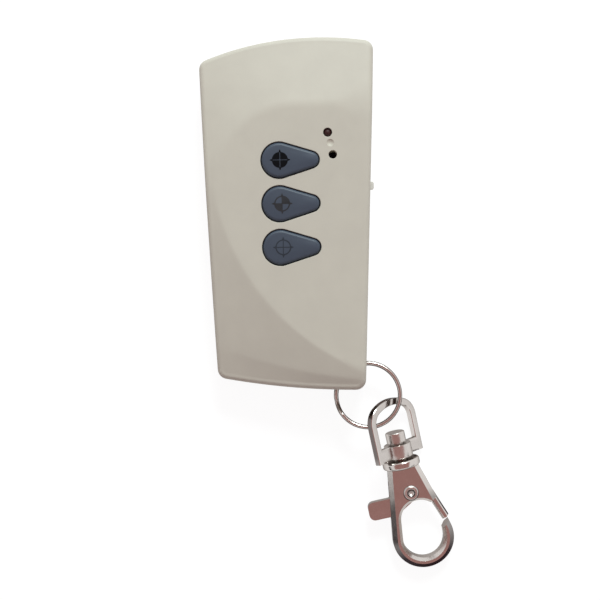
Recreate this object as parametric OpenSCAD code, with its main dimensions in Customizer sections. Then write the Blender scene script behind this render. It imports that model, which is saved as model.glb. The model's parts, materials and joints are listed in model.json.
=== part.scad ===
// Alarm key fob: a two-shell remote with three teardrop keys, a split ring through one corner
// and a swivel lobster clasp. Millimetres. The fob lies on its back: the origin is the middle of
// the back face, +X is to the right of the keys, +Y is towards the curved top end, +Z is out of the face.

/* [Case outline] */
// Width of the case halfway up
body_w = 35.1; // [34:0.1:37]
// Lean of each side wall, in degrees
side_taper = 2.35; // [1.8:0.05:2.8]
// Radius of the curved top end
top_r = 68.3; // [62:0.1:80]
// Highest point of the top end, right of the middle
top_x = 6.9; // [4:0.1:8]
// Highest point of the top end, above the middle
top_y = 38.2; // [37.5:0.1:41]
// Radius of the curved bottom end
bottom_r = 160.4; // [145:0.2:190]
// Lowest point of the bottom end, right of the middle
bottom_x = 15; // [12:0.1:17]
// Lowest point of the bottom end, below the middle
bottom_drop = 38.4; // [37.8:0.1:40]
// Corner radius seen from the front
corner_r = 2.2; // [1.8:0.1:3]
// Radius on the front and back edges
edge_r = 1.2; // [0.8:0.1:1.4]

/* [Face] */
// Height of the lowest point of the dished face above the back
face_z = 13; // [12.8:0.1:14]
// Height of the crease round the face above that point
crown_h = 0.7; // [0.6:0.05:0.9]
// Radius of the shallow dish
dish_r = 600; // [500:10:800]
// Dish centre, right of the middle
dish_x = 8; // [6:0.5:10]
// Dish centre, above the middle
dish_y = -8; // [-10:0.5:-6]
// Radius of the crease's round upper left
leaf_r = 16.4; // [15.5:0.1:16.8]
// Centre of that round, right of the middle
leaf_x = 1.14; // [0.9:0.02:1.6]
// Centre of that round, above the middle
leaf_y = 6.8; // [6:0.1:8]
// Radius of the crease's long lower left sweep
sweep_r = 58.7; // [54:0.1:64]
// Direction in which the sweep leaves the round, in degrees
leaf_lean = 16.8; // [15:0.1:18]
// Fall of the shoulders outside the crease, in degrees
shoulder_fall = 14; // [12:0.5:15]
// Fall of the bevel along the bottom end, in degrees
bevel_fall = 28; // [24:0.5:29]
// Radius of the bevel's upper edge at the crease's height
bevel_r = 69.2; // [69:0.1:72]
// Centre of that radius, right of the middle
bevel_x = 32.3; // [31:0.1:33]
// Centre of that radius, above the middle
bevel_y = 31.1; // [30.5:0.1:32]

/* [Shells] */
// Wall thickness of both shells
wall = 1.7; // [1.5:0.05:1.8]
// Thickness of the back
floor_t = 1.6; // [1.4:0.05:1.7]
// Height of the parting plane above the back
part_z = 5.2; // [5:0.05:5.4]
// Thickness of the locating tongue round the rear shell
tongue_t = 0.75; // [0.6:0.05:0.8]
// Height of the locating tongue
tongue_h = 0.8; // [0.6:0.05:0.9]
// Clearance round the tongue
tongue_gap = 0.1; // [0.08:0.01:0.15]

/* [Keys] */
// Middle of the keys' round ends, right of the middle
key_x = -1.82; // [-2.2:0.02:-1.4]
// Middle key, above the middle
key_y = 2; // [1.6:0.1:2.4]
// Distance from key to key
key_pitch = 9.37; // [9.2:0.01:9.8]
// Radius of a key opening's big end
key_big_r = 4; // [3.8:0.05:4.2]
// Radius of a key opening's small end
key_small_r = 1.95; // [1.7:0.05:2.2]
// Distance between the two ends' centres
key_reach = 6.82; // [6.4:0.02:6.9]
// Gap round a key
key_gap = 0.25; // [0.2:0.01:0.35]
// Height of a key above the face
key_proud = 0.65; // [0.5:0.05:0.9]
// Radius on the key's upper edge
key_edge_r = 0.55; // [0.3:0.05:0.7]
// Width of the retaining flange round a key
key_lip = 0.35; // [0.25:0.05:0.4]
// Thickness of the retaining flange
key_lip_t = 0.8; // [0.6:0.05:0.9]
// Travel of a key
key_travel = 0.3; // [0.2:0.05:0.3]

/* [Indicator row] */
// Indicator lens, right of the middle
led_x = 8.73; // [8.4:0.01:9]
// Indicator lens, above the middle
led_y = 17.17; // [17:0.01:17.6]
// Indicator lens diameter
led_d = 1.8; // [1.6:0.05:2]
// Blind dimple, right of the middle
dimple_x = 9.27; // [9:0.01:9.6]
// Blind dimple, above the middle
dimple_y = 14.91; // [14.7:0.01:15.1]
// Blind dimple diameter
dimple_d = 1.6; // [1.4:0.05:1.8]
// Depth of the dimple
dimple_depth = 0.35; // [0.2:0.05:0.5]
// Sound port, right of the middle
port_x = 9.76; // [9.6:0.01:10]
// Sound port, above the middle
port_y = 12.4; // [12.2:0.01:12.6]
// Sound port diameter
port_d = 1.8; // [1.6:0.05:2]

/* [Side switch] */
// Middle of the knob at rest, above the middle
knob_y = 6; // [5:0.1:6.5]
// Length of the knob along the wall
knob_len = 1.75; // [1.5:0.05:2]
// Thickness of the knob
knob_t = 1.1; // [0.9:0.05:1.2]
// Height of the knob above the wall
knob_proud = 0.95; // [0.7:0.05:1.2]
// Travel of the knob
knob_travel = 1.5; // [1.2:0.1:1.6]

/* [Board] */
// Height of the board's underside above the back
board_z = 5.6; // [5.5:0.05:5.7]
// Board thickness
board_t = 1; // [0.8:0.05:1.1]
// Board edge in from the case outline
board_in = 2.5; // [2.3:0.05:2.8]
// Side of a tactile switch
switch_w = 6; // [5.6:0.1:6.2]
// Height of a tactile switch's base
switch_h = 3.5; // [3.3:0.05:3.6]
// Plunger diameter
plunger_d = 3.2; // [2.8:0.1:3.5]
// Plunger height above the base
plunger_h = 0.8; // [0.6:0.05:0.9]
// Coin cell diameter
cell_d = 20; // [19.8:0.1:20]
// Coin cell thickness
cell_t = 3.2; // [3:0.05:3.2]
// Coin cell centre, right of the middle
cell_x = -1.2; // [-2:0.1:-0.5]
// Coin cell centre, above the middle
cell_y = -12.5; // [-13:0.1:-12]
// Board's lower edge, below the middle
board_drop = 27; // [26.5:0.1:27.5]
// Controller chip, left of the middle
chip_left = 3.5; // [3:0.1:4]
// Controller chip, above the middle
chip_y = 24.5; // [24:0.1:25.5]
// Resonator can, right of the middle
can_x = 5.8; // [5.6:0.1:6.2]
// Resonator can, above the middle
can_y = 24.2; // [23.6:0.1:24.6]
// Resonator can diameter
can_d = 8.2; // [7.6:0.1:8.4]
// Antenna strip, in from the case outline
antenna_in = 3.1; // [2.9:0.05:3.4]
// Length of the antenna strip across the case
antenna_w = 20; // [16:0.5:21]

/* [Screws] */
// Shank diameter of the case screws
screw_d = 2; // [1.8:0.05:2.2]
// Head diameter of the case screws
screw_head_d = 3.8; // [3.4:0.1:4]
// Head height of the case screws
screw_head_h = 1.2; // [1:0.05:1.3]
// Depth of the head's seat below the back
screw_seat = 1.5; // [1.4:0.05:1.6]
// Boss diameter
boss_d = 4.8; // [4.6:0.1:5.2]
// Case screws, in from the side walls
screw_in = 6.15; // [5.8:0.05:6.4]
// Upper left screw, above the middle
screw_left_y = 26; // [25:0.1:26.5]
// Upper right screw, above the middle
screw_right_y = 28.5; // [28:0.1:29]
// Lower screw, below the middle
screw_drop = 25.5; // [25.2:0.1:26]
// Board rests, in from the side walls
rest_in = 4.05; // [3.9:0.05:4.4]
// Right board rest, below the middle
rest_right_drop = 8; // [6:0.1:10]
// Left board rest, below the middle
rest_left_drop = 5; // [3:0.1:7]

/* [Split ring] */
// Outside diameter of the ring
ring_d = 15; // [14.6:0.1:15.4]
// Wire diameter
ring_wire = 0.95; // [0.85:0.05:1]
// Rise from one turn to the next
ring_pitch = 1.38; // [1.36:0.01:1.5]
// Corner post, in from the two walls
post_in = 2.2; // [2.1:0.05:2.4]
// Radius of the corner post
post_r = 1.5; // [1.4:0.05:1.7]
// Radius of the pocket round the post
pocket_r = 7.6; // [7.4:0.1:7.8]
// Room under the ring in the pocket
pocket_under = 0.8; // [0.75:0.05:1]
// Room over the ring in the pocket
pocket_over = 0.8; // [0.75:0.05:1]
// Height of the ring at the post above the back
ring_z = 5.2; // [5.1:0.05:5.3]
// Direction in which the ring hangs, in degrees
ring_heading = -53; // [-56:0.5:-50]
// Rise of the ring away from the post, in degrees
ring_rise = 7; // [6.6:0.1:7.4]
// Place of the split, in degrees round the ring
ring_split = 257; // [240:1:290]

/* [Clasp] */
// Place round the ring where the eye hangs, in degrees
eye_on_ring = -5.9; // [-8:0.1:-5]
// Distance from the ring's wire to the flange, along the clasp
clasp_drop = 9.86; // [9.7:0.02:10.1]
// Distance from the ring's wire to the clasp's axis, across the eye
clasp_x = 2.04; // [1.94:0.02:2.14]
// Direction of the clasp's axis, in degrees
clasp_heading = 11.4; // [10:0.2:12]
// Tilt of the clasp's axis, in degrees
clasp_tilt = 5.7; // [5.5:0.1:5.9]
// Roll of the eye about the axis, in degrees
eye_roll = 38; // [37:0.5:40]
// Outside width of the eye
eye_w = 13.4; // [13.2:0.1:13.6]
// Room between the ring's wire and the eye's arch
eye_h = 2.05; // [1.8:0.05:2.4]
// Thickness of the eye's square bar
eye_bar = 1.5; // [1.4:0.05:1.55]
// Bevel along the eye's edges
eye_bevel = 0.25; // [0.2:0.05:0.35]
// Collar diameter
collar_d = 6; // [5.6:0.1:6.2]
// Collar length
collar_len = 3; // [2.8:0.05:3.2]
// Swivel post diameter
swivel_d = 3; // [2.8:0.05:3.1]
// Diameter of the swaged head
swage_d = 4.3; // [3.9:0.1:4.4]
// Height of the swaged head
swage_h = 2.2; // [2:0.05:2.4]
// Flange diameter
flange_d = 8.3; // [8.1:0.05:8.3]
// Flange thickness
flange_t = 1.75; // [1.6:0.05:1.9]
// Thickness of the hook
hook_t = 4; // [3.8:0.05:4]
// Outer radius of the hook's bend
hook_r = 6.8; // [6.7:0.05:7]
// Width of the hook's bar
hook_bar = 2.25; // [2.1:0.05:2.4]
// Bevel along the hook's edges
hook_bevel = 1; // [0.8:0.05:1.05]
// Bevel along the edges of the hook's throat
throat_bevel = 0.6; // [0.4:0.05:0.7]
// Centre of the bend, right of the axis
bend_x = 1.3; // [1.2:0.05:1.4]
// Centre of the bend, from the flange centre
bend_len = 17.3; // [17.1:0.05:17.5]
// Rivet, right of the axis
rivet_x = 0.65; // [0.55:0.05:0.75]
// Rivet, from the flange centre
rivet_len = 6.7; // [6.6:0.02:6.8]
// Rivet shank diameter
rivet_d = 1.8; // [1.6:0.05:1.9]
// Rivet head diameter
rivet_head_d = 3.4; // [3.2:0.1:3.6]
// Thickness of the gate lever
lever_t = 1.6; // [1.5:0.05:1.65]
// Diameter of the gate's round arm
gate_d = 1.75; // [1.65:0.05:1.8]
// Gap between the gate and the hook's tip
gate_tip_gap = 0.6; // [0.5:0.05:0.7]
// Slant of the hook's tip, in degrees
tip_slant = 43; // [40:0.5:46]
// Width of the thumb tab
thumb_w = 4.1; // [3.9:0.05:4.2]
// Corner radius of the thumb tab
thumb_r = 1.3; // [1:0.05:1.6]
// End of the thumb tab, out from the rivet
thumb_out = 10; // [9.8:0.05:10.2]
// Middle of the thumb tab, down from the rivet
thumb_low = 2.6; // [2.5:0.05:2.7]
// Diameter of the gate's torsion spring
spring_d = 3; // [2.8:0.05:3.1]
// Wire of the torsion spring
spring_wire = 0.25; // [0.2:0.01:0.28]

/* [Hidden] */

ivory = "#c9c4b4";
key_blue = "#4a5463";
nickel = "#b9b2ab";
far = 40;
thin = 0.01;
run_gap = 0.05;
slip = 0.15;

// Points of a round stretch from angle a0 to a1 about c
function arc(c, r, a0, a1, n) = [for (i = [0:n]) let(a = a0 + (a1 - a0) * i / n) c + r * [cos(a), sin(a)]];

// Outline of two circles joined by their outer tangents
function joined(c1, r1, c2, r2, n) =
  let(d = c2 - c1, lie = atan2(d[1], d[0]), open = acos((r1 - r2) / norm(d)))
  concat(arc(c1, r1, lie + open, lie + 360 - open, n), arc(c2, r2, lie - open, lie + open, n));

// Case outline: leaning sides, two curved ends and tangent corners, all moved in by d
top_c = [top_x, top_y - top_r];
bottom_c = [bottom_x, bottom_r - bottom_drop];
function side_dir(s) = [s * sin(side_taper), cos(side_taper)];
function side_in(s) = [-s * cos(side_taper), sin(side_taper)];
function corner_at(s, c, big_r, r, d, end) =
  let(
    q = [s * body_w / 2, 0] + (r + d) * side_in(s),
    along = side_dir(s) * (q - c),
    apart = (q - c) * (q - c) - pow(big_r - d - r, 2)
  )
  q + (end * sqrt(along * along - apart) - along) * side_dir(s);
function heading(v) = let(a = atan2(v[1], v[0])) a < -90 ? a + 360 : a;
function outline(d = 0) =
  let(
    r = max(corner_r - d, 0.4),
    tr = corner_at(1, top_c, top_r, r, d, 1),
    tl = corner_at(-1, top_c, top_r, r, d, 1),
    bl = corner_at(-1, bottom_c, bottom_r, r, d, -1),
    br = corner_at(1, bottom_c, bottom_r, r, d, -1),
    bl_a = heading(bl - bottom_c),
    br_a = bl_a + heading(br - bottom_c) - heading(bl - bottom_c) + (br[0] > bottom_c[0] ? 360 : 0)
  )
  concat(
    arc(tr, r, -side_taper, heading(tr - top_c), 8),
    arc(top_c, top_r - d, heading(tr - top_c), heading(tl - top_c), 18),
    arc(tl, r, heading(tl - top_c), 180 + side_taper, 8),
    arc(bl, r, 180 + side_taper, bl_a, 8),
    arc(bottom_c, bottom_r - d, bl_a, br_a, 12),
    arc(br, r, br_a, 360 - side_taper, 8)
  );
function side_x(y, d = 0) = body_w / 2 + y * tan(side_taper) - d / cos(side_taper);
module plate(z, h, d) translate([0, 0, z]) linear_extrude(h) polygon(outline(d));

// Front form: leaf-shaped crown with falling shoulders, cut by the bottom bevel
crown_z = face_z + crown_h;
under_z = crown_z - wall;
sweep_c = [leaf_x, leaf_y] + (sweep_r - leaf_r) * [cos(leaf_lean), sin(leaf_lean)];
sweep_end = 262;
function leaf(grow) = concat(
  [[far, leaf_y + leaf_r + grow]],
  arc([leaf_x, leaf_y], leaf_r + grow, 90, 180 + leaf_lean, 24),
  arc(sweep_c, sweep_r + grow, 180 + leaf_lean, sweep_end, 28),
  [[far, sweep_c[1] - sweep_r - grow]]
);
function dish_z(x, y) = face_z + (pow(x - dish_x, 2) + pow(y - dish_y, 2)) / (2 * dish_r);
module crown_cut(d) {
  hull() {
    translate([0, 0, crown_z - d]) linear_extrude(thin) polygon(leaf(0));
    translate([0, 0, crown_z - d - far * tan(shoulder_fall)]) linear_extrude(thin) polygon(leaf(far));
  }
}
module bevel_cut(d) {
  grow = crown_z / tan(bevel_fall);
  translate([bevel_x, bevel_y, -d])
    cylinder(h = 2 * crown_z, r1 = bevel_r + grow, r2 = bevel_r - grow, $fn = 180);
}
module front_core(d) {
  intersection() {
    plate(part_z - 2 * edge_r, crown_z, d);
    crown_cut(d);
    bevel_cut(d);
  }
}
module front_skin() {
  intersection() {
    minkowski() {
      front_core(edge_r);
      sphere(edge_r, $fn = 20);
    }
    plate(part_z, crown_z, -1);
  }
}
module dish_cut() {
  translate([dish_x, dish_y, face_z]) rotate_extrude($fn = 120) intersection() {
    translate([0, dish_r]) circle(dish_r, $fn = 3000);
    translate([0, -1]) square([far + 10, 6]);
  }
}

// Pocket for the split ring round a post in the lower right corner
post_c = corner_at(1, bottom_c, bottom_r, post_in, 0, -1);
ring_half = (ring_pitch + ring_wire) / 2;
pocket_z = ring_z - ring_half - pocket_under;
pocket_top = ring_z + ring_half + pocket_over;
pocket_wall = 1.2;
post_web = 0.9;
module pocket_shape() {
  difference() {
    translate(post_c) circle(pocket_r, $fn = 96);
    translate(post_c) circle(post_r, $fn = 48);
    translate(post_c - [0, far]) square([far, far + post_web]);
    translate(post_c - [post_web, far]) square([far, far]);
  }
}
module pocket_block(z, h) {
  intersection() {
    plate(z, h, edge_r);
    translate([post_c[0], post_c[1], z]) cylinder(h = h, r = pocket_r + pocket_wall, $fn = 96);
  }
}
module pocket_cut() translate([0, 0, pocket_z]) linear_extrude(pocket_top - pocket_z) pocket_shape();

// Case screws
function from_wall(s, y, inset) = [s * (side_x(y) - inset), y];
screw_places = [
  from_wall(-1, screw_left_y, screw_in),
  from_wall(1, screw_right_y, screw_in),
  from_wall(-1, -screw_drop, screw_in)
];
screw_len = 8;
screw_hole = 0.15;
screw_slack = 0.1;
screw_end = 0.4;
rest_places = [from_wall(1, -rest_right_drop, rest_in), from_wall(-1, -rest_left_drop, rest_in)];
rest_d = 3;
board_top = board_z + board_t;
module at_screws() for (p = screw_places) translate(p) children();

module rear_shell() {
  color(ivory) difference() {
    union() {
      difference() {
        hull() {
          for (a = [0:22.5:90]) {
            plate(edge_r * (1 - sin(a)), part_z - edge_r * (1 - sin(a)), edge_r * (1 - cos(a)));
          }
        }
        plate(floor_t, part_z, wall);
      }
      difference() {
        plate(floor_t, part_z + tongue_h - floor_t, wall - tongue_t);
        plate(floor_t - 1, part_z + tongue_h, wall);
        translate([post_c[0], post_c[1], 0]) cylinder(h = far, r = pocket_r + pocket_wall + slip, $fn = 96);
      }
      pocket_block(floor_t / 2, part_z - floor_t / 2);
      at_screws() translate([0, 0, floor_t / 2]) cylinder(h = board_z - floor_t / 2, d = boss_d, $fn = 48);
      for (p = rest_places) {
        translate([p[0], p[1], floor_t / 2]) cylinder(h = board_z - floor_t / 2, d = rest_d, $fn = 32);
      }
    }
    pocket_cut();
    at_screws() translate([0, 0, -1]) cylinder(h = far, d = screw_d + 2 * screw_hole, $fn = 32);
    at_screws() translate([0, 0, -1])
      cylinder(h = screw_seat + 1, d = screw_head_d + 4 * screw_hole, $fn = 48);
  }
}

led_gap = 0.06;
port_wall = 0.9;
knob_z = board_top + 0.7;
knob_slot = 0.2;
module front_shell() {
  color(ivory) difference() {
    union() {
      difference() {
        front_skin();
        front_core(wall);
        plate(part_z - 1, tongue_h + tongue_gap + 1, wall - tongue_t - tongue_gap);
      }
      pocket_block(part_z, pocket_top + pocket_wall - part_z);
      intersection() {
        front_core(wall / 2);
        union() {
          at_screws() translate([0, 0, board_top]) cylinder(h = crown_z, d = boss_d, $fn = 48);
          translate([port_x, port_y, buzzer_top + slip])
            cylinder(h = crown_z, d = port_d + 2 * port_wall, $fn = 40);
        }
      }
    }
    dish_cut();
    pocket_cut();
    for (i = [-1:1]) translate([0, 0, under_z - 1]) linear_extrude(far) polygon(key_shape(i, 0));
    translate([led_x, led_y, 0]) cylinder(h = far, d = led_d + 2 * led_gap, $fn = 32);
    translate([port_x, port_y, 0]) cylinder(h = far, d = port_d, $fn = 32);
    dimple_cut();
    knob_window();
    at_screws() translate([0, 0, board_top - 1])
      cylinder(h = screw_seat + screw_len - board_top + 1 + screw_end, d = screw_d + screw_slack, $fn = 32);
  }
}
module knob_window() {
  low = knob_y - knob_travel - knob_len / 2 - knob_slot;
  translate([side_x(knob_y) - wall - 1, low, knob_z - knob_t / 2 - knob_slot])
    cube([wall + 3, knob_len + knob_travel + 2 * knob_slot, knob_t + 2 * knob_slot]);
}
module dimple_cut() {
  ball_r = (pow(dimple_d / 2, 2) + pow(dimple_depth, 2)) / (2 * dimple_depth);
  translate([dimple_x, dimple_y, dish_z(dimple_x, dimple_y) + ball_r - dimple_depth])
    sphere(ball_r, $fn = 48);
}

module case_screws() {
  color(nickel) at_screws() {
    translate([0, 0, screw_seat - screw_head_h]) difference() {
      cylinder(h = screw_head_h, d = screw_head_d, $fn = 48);
      for (a = [0, 90]) rotate(a) translate([-1.1, -0.25, -1]) cube([2.2, 0.5, 1.6]);
    }
    translate([0, 0, screw_seat]) cylinder(h = screw_len, d = screw_d, $fn = 32);
  }
}

// Keys: teardrop caps with a lip under the face and a foot on the switch plunger
function key_centre(i) = [key_x, key_y + i * key_pitch];
function key_shape(i, d) =
  joined(key_centre(i), key_big_r - d, key_centre(i) + [key_reach, 0], key_small_r - d, 24);
key_foot_z = board_top + switch_h + plunger_h;
key_lip_top = under_z - 0.12;
module key(i) {
  top = dish_z(key_x, key_centre(i)[1]) + key_proud;
  color(key_blue) {
    translate([0, 0, key_lip_top]) hull() {
      for (a = [0:30:90]) {
        linear_extrude(top - key_lip_top - key_edge_r * (1 - sin(a)))
          polygon(key_shape(i, key_gap + key_edge_r * (1 - cos(a))));
      }
    }
    translate([0, 0, key_lip_top - key_lip_t]) linear_extrude(key_lip_t) polygon(key_shape(i, -key_lip));
    translate([key_x, key_centre(i)[1], key_foot_z])
      cylinder(h = key_lip_top - key_lip_t - key_foot_z + 0.1, d = plunger_d, $fn = 40);
  }
}
module key_arm() key(1);
module key_part_arm() key(0);
module key_disarm() key(-1);

// Tactile switches under the keys
cover_t = 0.3;
module at_keys() for (i = [-1:1]) translate([key_x, key_centre(i)[1], board_top]) children();
module plunger(i) {
  sunk = 1;
  color("#e8e4da") translate([key_x, key_centre(i)[1], key_foot_z - plunger_h - sunk])
    cylinder(h = plunger_h + sunk, d = plunger_d, $fn = 40);
}
module plunger_arm() plunger(1);
module plunger_part_arm() plunger(0);
module plunger_disarm() plunger(-1);
module switch_bases() {
  color("#202226") at_keys() difference() {
    translate([-switch_w / 2, -switch_w / 2, 0]) cube([switch_w, switch_w, switch_h - cover_t]);
    translate([0, 0, switch_h - plunger_h - 1]) cylinder(h = switch_h, d = plunger_d + 2 * slip, $fn = 40);
  }
}
module switch_covers() {
  color(nickel) at_keys() translate([0, 0, switch_h - cover_t]) difference() {
    translate([-switch_w / 2, -switch_w / 2, 0]) cube([switch_w, switch_w, cover_t]);
    translate([0, 0, -1]) cylinder(h = 3, d = plunger_d + 2 * slip, $fn = 40);
  }
}

// Circuit board and what stands on it
module circuit_board() {
  color("#2f6b3c") translate([0, 0, board_z]) linear_extrude(board_t) difference() {
    intersection() {
      polygon(outline(board_in));
      translate([-far, -board_drop]) square([2 * far, 2 * far]);
    }
    translate(post_c) circle(pocket_r + pocket_wall + 2 * slip, $fn = 96);
    at_screws() circle(d = screw_d + 2 * screw_hole, $fn = 32);
  }
}
led_base_z = board_top + 3;
led_base_t = 0.8;
module status_led() {
  lens_top = dish_z(led_x, led_y) - 0.1;
  color("#5a1512") translate([led_x, led_y, 0]) {
    translate([0, 0, led_base_z]) cylinder(h = led_base_t, d = led_d + 1, $fn = 40);
    translate([0, 0, led_base_z]) cylinder(h = lens_top - led_d / 2 - led_base_z, d = led_d, $fn = 40);
    translate([0, 0, lens_top - led_d / 2]) sphere(d = led_d, $fn = 40);
  }
}
module led_leads() {
  lead = 0.4;
  apart = 0.6;
  color(nickel) for (s = [-1, 1]) {
    translate([led_x + s * apart - lead / 2, led_y - lead / 2, board_top])
      cube([lead, lead, led_base_z - board_top]);
  }
}
buzzer_w = 5;
buzzer_h = 2;
buzzer_top = board_top + buzzer_h;
module buzzer() {
  color("#26282b") translate([port_x, port_y, board_top]) difference() {
    translate([-buzzer_w / 2, -buzzer_w / 2, 0]) cube([buzzer_w, buzzer_w, buzzer_h]);
    translate([0, 0, buzzer_h / 2]) cylinder(h = buzzer_h, d = port_d, $fn = 32);
  }
}
switch_case = [2.7, 6.7, 1.4];
slider_t = 0.7;
slider_in = 1.3;
case_x = side_x(knob_y, board_in) - switch_case[0];
module side_switch_case() {
  mid = knob_y - knob_travel / 2;
  window = knob_len + knob_travel + 2 * slip;
  low = knob_z - board_top - slider_t / 2 - slip;
  color(nickel) translate([case_x, mid - switch_case[1] / 2, board_top]) difference() {
    cube(switch_case);
    translate([switch_case[0] - slider_in - slip, (switch_case[1] - window) / 2, low])
      cube([switch_case[0], window, slider_t + 2 * slip]);
  }
}
module side_switch_knob() {
  out = side_x(knob_y) + knob_proud;
  stem_gap = 0.3;
  nose = 0.3;
  nose_slope = 0.2;
  shoulder = case_x + switch_case[0] + stem_gap;
  low = knob_y - knob_len / 2;
  color("#dedad0") {
    translate([shoulder - slider_in - stem_gap, low, knob_z - slider_t / 2])
      cube([slider_in + 2 * stem_gap, knob_len, slider_t]);
    hull() {
      translate([shoulder, low, knob_z - knob_t / 2]) cube([out - shoulder - nose, knob_len, knob_t]);
      translate([shoulder, low + nose, knob_z - knob_t / 2 + nose_slope])
        cube([out - shoulder, knob_len - 2 * nose, knob_t - 2 * nose_slope]);
    }
  }
}
contact_t = 0.1;
cell_top = board_z - contact_t;
retainer_t = 0.3;
module coin_cell() {
  rim = 0.5;
  color("#b8bab8") translate([cell_x, cell_y, cell_top - cell_t]) {
    cylinder(h = cell_t - rim, d = cell_d, $fn = 96);
    translate([0, 0, cell_t - rim]) cylinder(h = rim, d = cell_d - 2.4, $fn = 96);
  }
}
module cell_retainer() {
  strap_w = 5;
  leg_gap = 0.1;
  inside = cell_d + 2 * leg_gap;
  low = cell_top - cell_t - retainer_t;
  color(nickel) translate([cell_x, cell_y - strap_w / 2, low]) {
    translate([-inside / 2 - retainer_t, 0, 0]) cube([inside + 2 * retainer_t, strap_w, retainer_t]);
    for (s = [-1, 1]) {
      translate([s * (inside + retainer_t) / 2 - retainer_t / 2, 0, 0])
        cube([retainer_t, strap_w, board_z - low]);
    }
  }
}
module cell_contact() {
  contact_d = 6;
  color("#c9a54a") translate([cell_x, cell_y, cell_top]) cylinder(h = contact_t, d = contact_d, $fn = 48);
}
module controller_chip() {
  legs = 7;
  pitch = 1.27;
  chip_len = 8.7;
  chip_w = 3.9;
  chip_h = 1.4;
  leg_w = 0.4;
  leg_span = 6;
  leg_t = 0.25;
  color("#1e2023") translate([-chip_left, chip_y, board_top]) {
    translate([-chip_len / 2, -chip_w / 2, leg_t / 2]) cube([chip_len, chip_w, chip_h]);
    for (i = [0:legs - 1]) {
      translate([(i - (legs - 1) / 2) * pitch - leg_w / 2, -leg_span / 2, 0]) cube([leg_w, leg_span, leg_t]);
    }
  }
}
module resonator() {
  can_h = 3.2;
  brim_t = 0.4;
  brim_w = 0.45;
  color("#c4c2bc") translate([can_x, can_y, board_top]) {
    cylinder(h = brim_t, d = can_d + 2 * brim_w, $fn = 64);
    cylinder(h = can_h, d = can_d, $fn = 64);
  }
}
module loop_antenna() {
  strip_t = 0.7;
  strip_h = 1;
  color("#b87a4b") translate([0, 0, board_top]) linear_extrude(strip_h) intersection() {
    difference() {
      polygon(outline(antenna_in));
      polygon(outline(antenna_in + strip_t));
    }
    translate([(top_x - antenna_w) / 2, top_y - antenna_w / 2]) square([antenna_w, antenna_w]);
  }
}

// Wire wound about Z: the cross-section sits in the plane through the axis
function wound(r, angle, z, wire, sides) =
  [for (i = [0:len(angle) - 1], k = [0:sides - 1])
    let(a = 360 * k / sides, q = r + wire / 2 * cos(a))
    [q * cos(angle[i]), q * sin(angle[i]), z[i] + wire / 2 * sin(a)]];
function wound_faces(rings, sides) = concat(
  [for (k = [1:sides - 2]) [0, k + 1, k]],
  [for (i = [0:rings - 2], k = [0:sides - 1], half = [0, 1])
    let(a = i * sides + k, b = i * sides + (k + 1) % sides)
    half == 0 ? [a, b, a + sides] : [b, b + sides, a + sides]],
  [for (k = [1:sides - 2]) let(e = (rings - 1) * sides) [e, e + k, e + k + 1]]
);
module wound_wire(r, angle, z, wire, sides) {
  polyhedron(wound(r, angle, z, wire, sides), wound_faces(len(angle), sides));
}

// Split ring: two flat turns with one step between them
ring_r = (ring_d - ring_wire) / 2;
ring_step = 15;
ring_sides = 10;
ring_angles = [for (i = [0:96]) ring_step + i * (720 - 2 * ring_step) / 96];
function eased(t) = t * t * (3 - 2 * t);
function ring_height(a) = ring_pitch * (eased(min(1, max(0, (a - 360 + ring_step) / (2 * ring_step)))) - 0.5);
ring_heights = [for (a = ring_angles) ring_height(a)];
ring_points = [for (a = ring_angles) [ring_r * cos(a), ring_r * sin(a), ring_height(a)]];
ring_self_gap = min([
  for (i = [0:96], j = [0:96])
    if (ring_angles[j] - ring_angles[i] > 90) norm(ring_points[i] - ring_points[j])
]) - ring_wire;
echo(ring_self_gap = ring_self_gap);
ring_reach = ring_d / 2 - ring_wire - post_r - slip - ring_half * sin(ring_rise);
module in_ring() {
  translate([post_c[0], post_c[1], ring_z]) rotate(ring_heading) rotate([0, -ring_rise, 0])
    translate([ring_reach, 0, 0]) rotate(ring_split) children();
}
module split_ring() {
  color(nickel) in_ring() wound_wire(ring_r, ring_angles, ring_heights, ring_wire, ring_sides);
}

// Clasp: hung from the ring, local Y runs along the swivel axis, local Z is out of the hook's face
swivel_gap = 0.5;
function about_x(v, a) = [v[0], v[1] * cos(a) - v[2] * sin(a), v[1] * sin(a) + v[2] * cos(a)];
function about_y(v, a) = [v[0] * cos(a) + v[2] * sin(a), v[1], v[2] * cos(a) - v[0] * sin(a)];
function about_z(v, a) = [v[0] * cos(a) - v[1] * sin(a), v[0] * sin(a) + v[1] * cos(a), v[2]];
on_ring = [ring_reach + ring_r * cos(eye_on_ring), ring_r * sin(eye_on_ring), 0];
wire_at = [post_c[0], post_c[1], ring_z] + about_z(about_y(on_ring, -ring_rise), ring_heading);
to_wire = about_z(about_x(about_y([-clasp_x, clasp_drop, 0], eye_roll), clasp_tilt), clasp_heading);
eye_low = (eye_w / 2 - eye_bevel) * sin(eye_roll) + eye_bar / 2 * cos(eye_roll);
clasp_z = max(
  flange_d / 2 * cos(clasp_tilt) + flange_t / 2 * sin(clasp_tilt),
  eye_low * cos(clasp_tilt) - (flange_t / 2 + swivel_gap) * sin(clasp_tilt)
);
clasp_at = [wire_at[0] - to_wire[0], wire_at[1] - to_wire[1], clasp_z];
echo(clasp_at = clasp_at, wire_at = wire_at);
module in_clasp() translate(clasp_at) rotate([clasp_tilt, 0, clasp_heading]) children();
module along_y(y) translate([0, y, 0]) rotate([-90, 0, 0]) children();
function bar_section(w, h, bevel) = [
  [w / 2, bevel - h / 2], [w / 2, h / 2 - bevel], [w / 2 - bevel, h / 2], [bevel - w / 2, h / 2],
  [-w / 2, h / 2 - bevel], [-w / 2, bevel - h / 2], [bevel - w / 2, -h / 2], [w / 2 - bevel, -h / 2]
];
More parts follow.
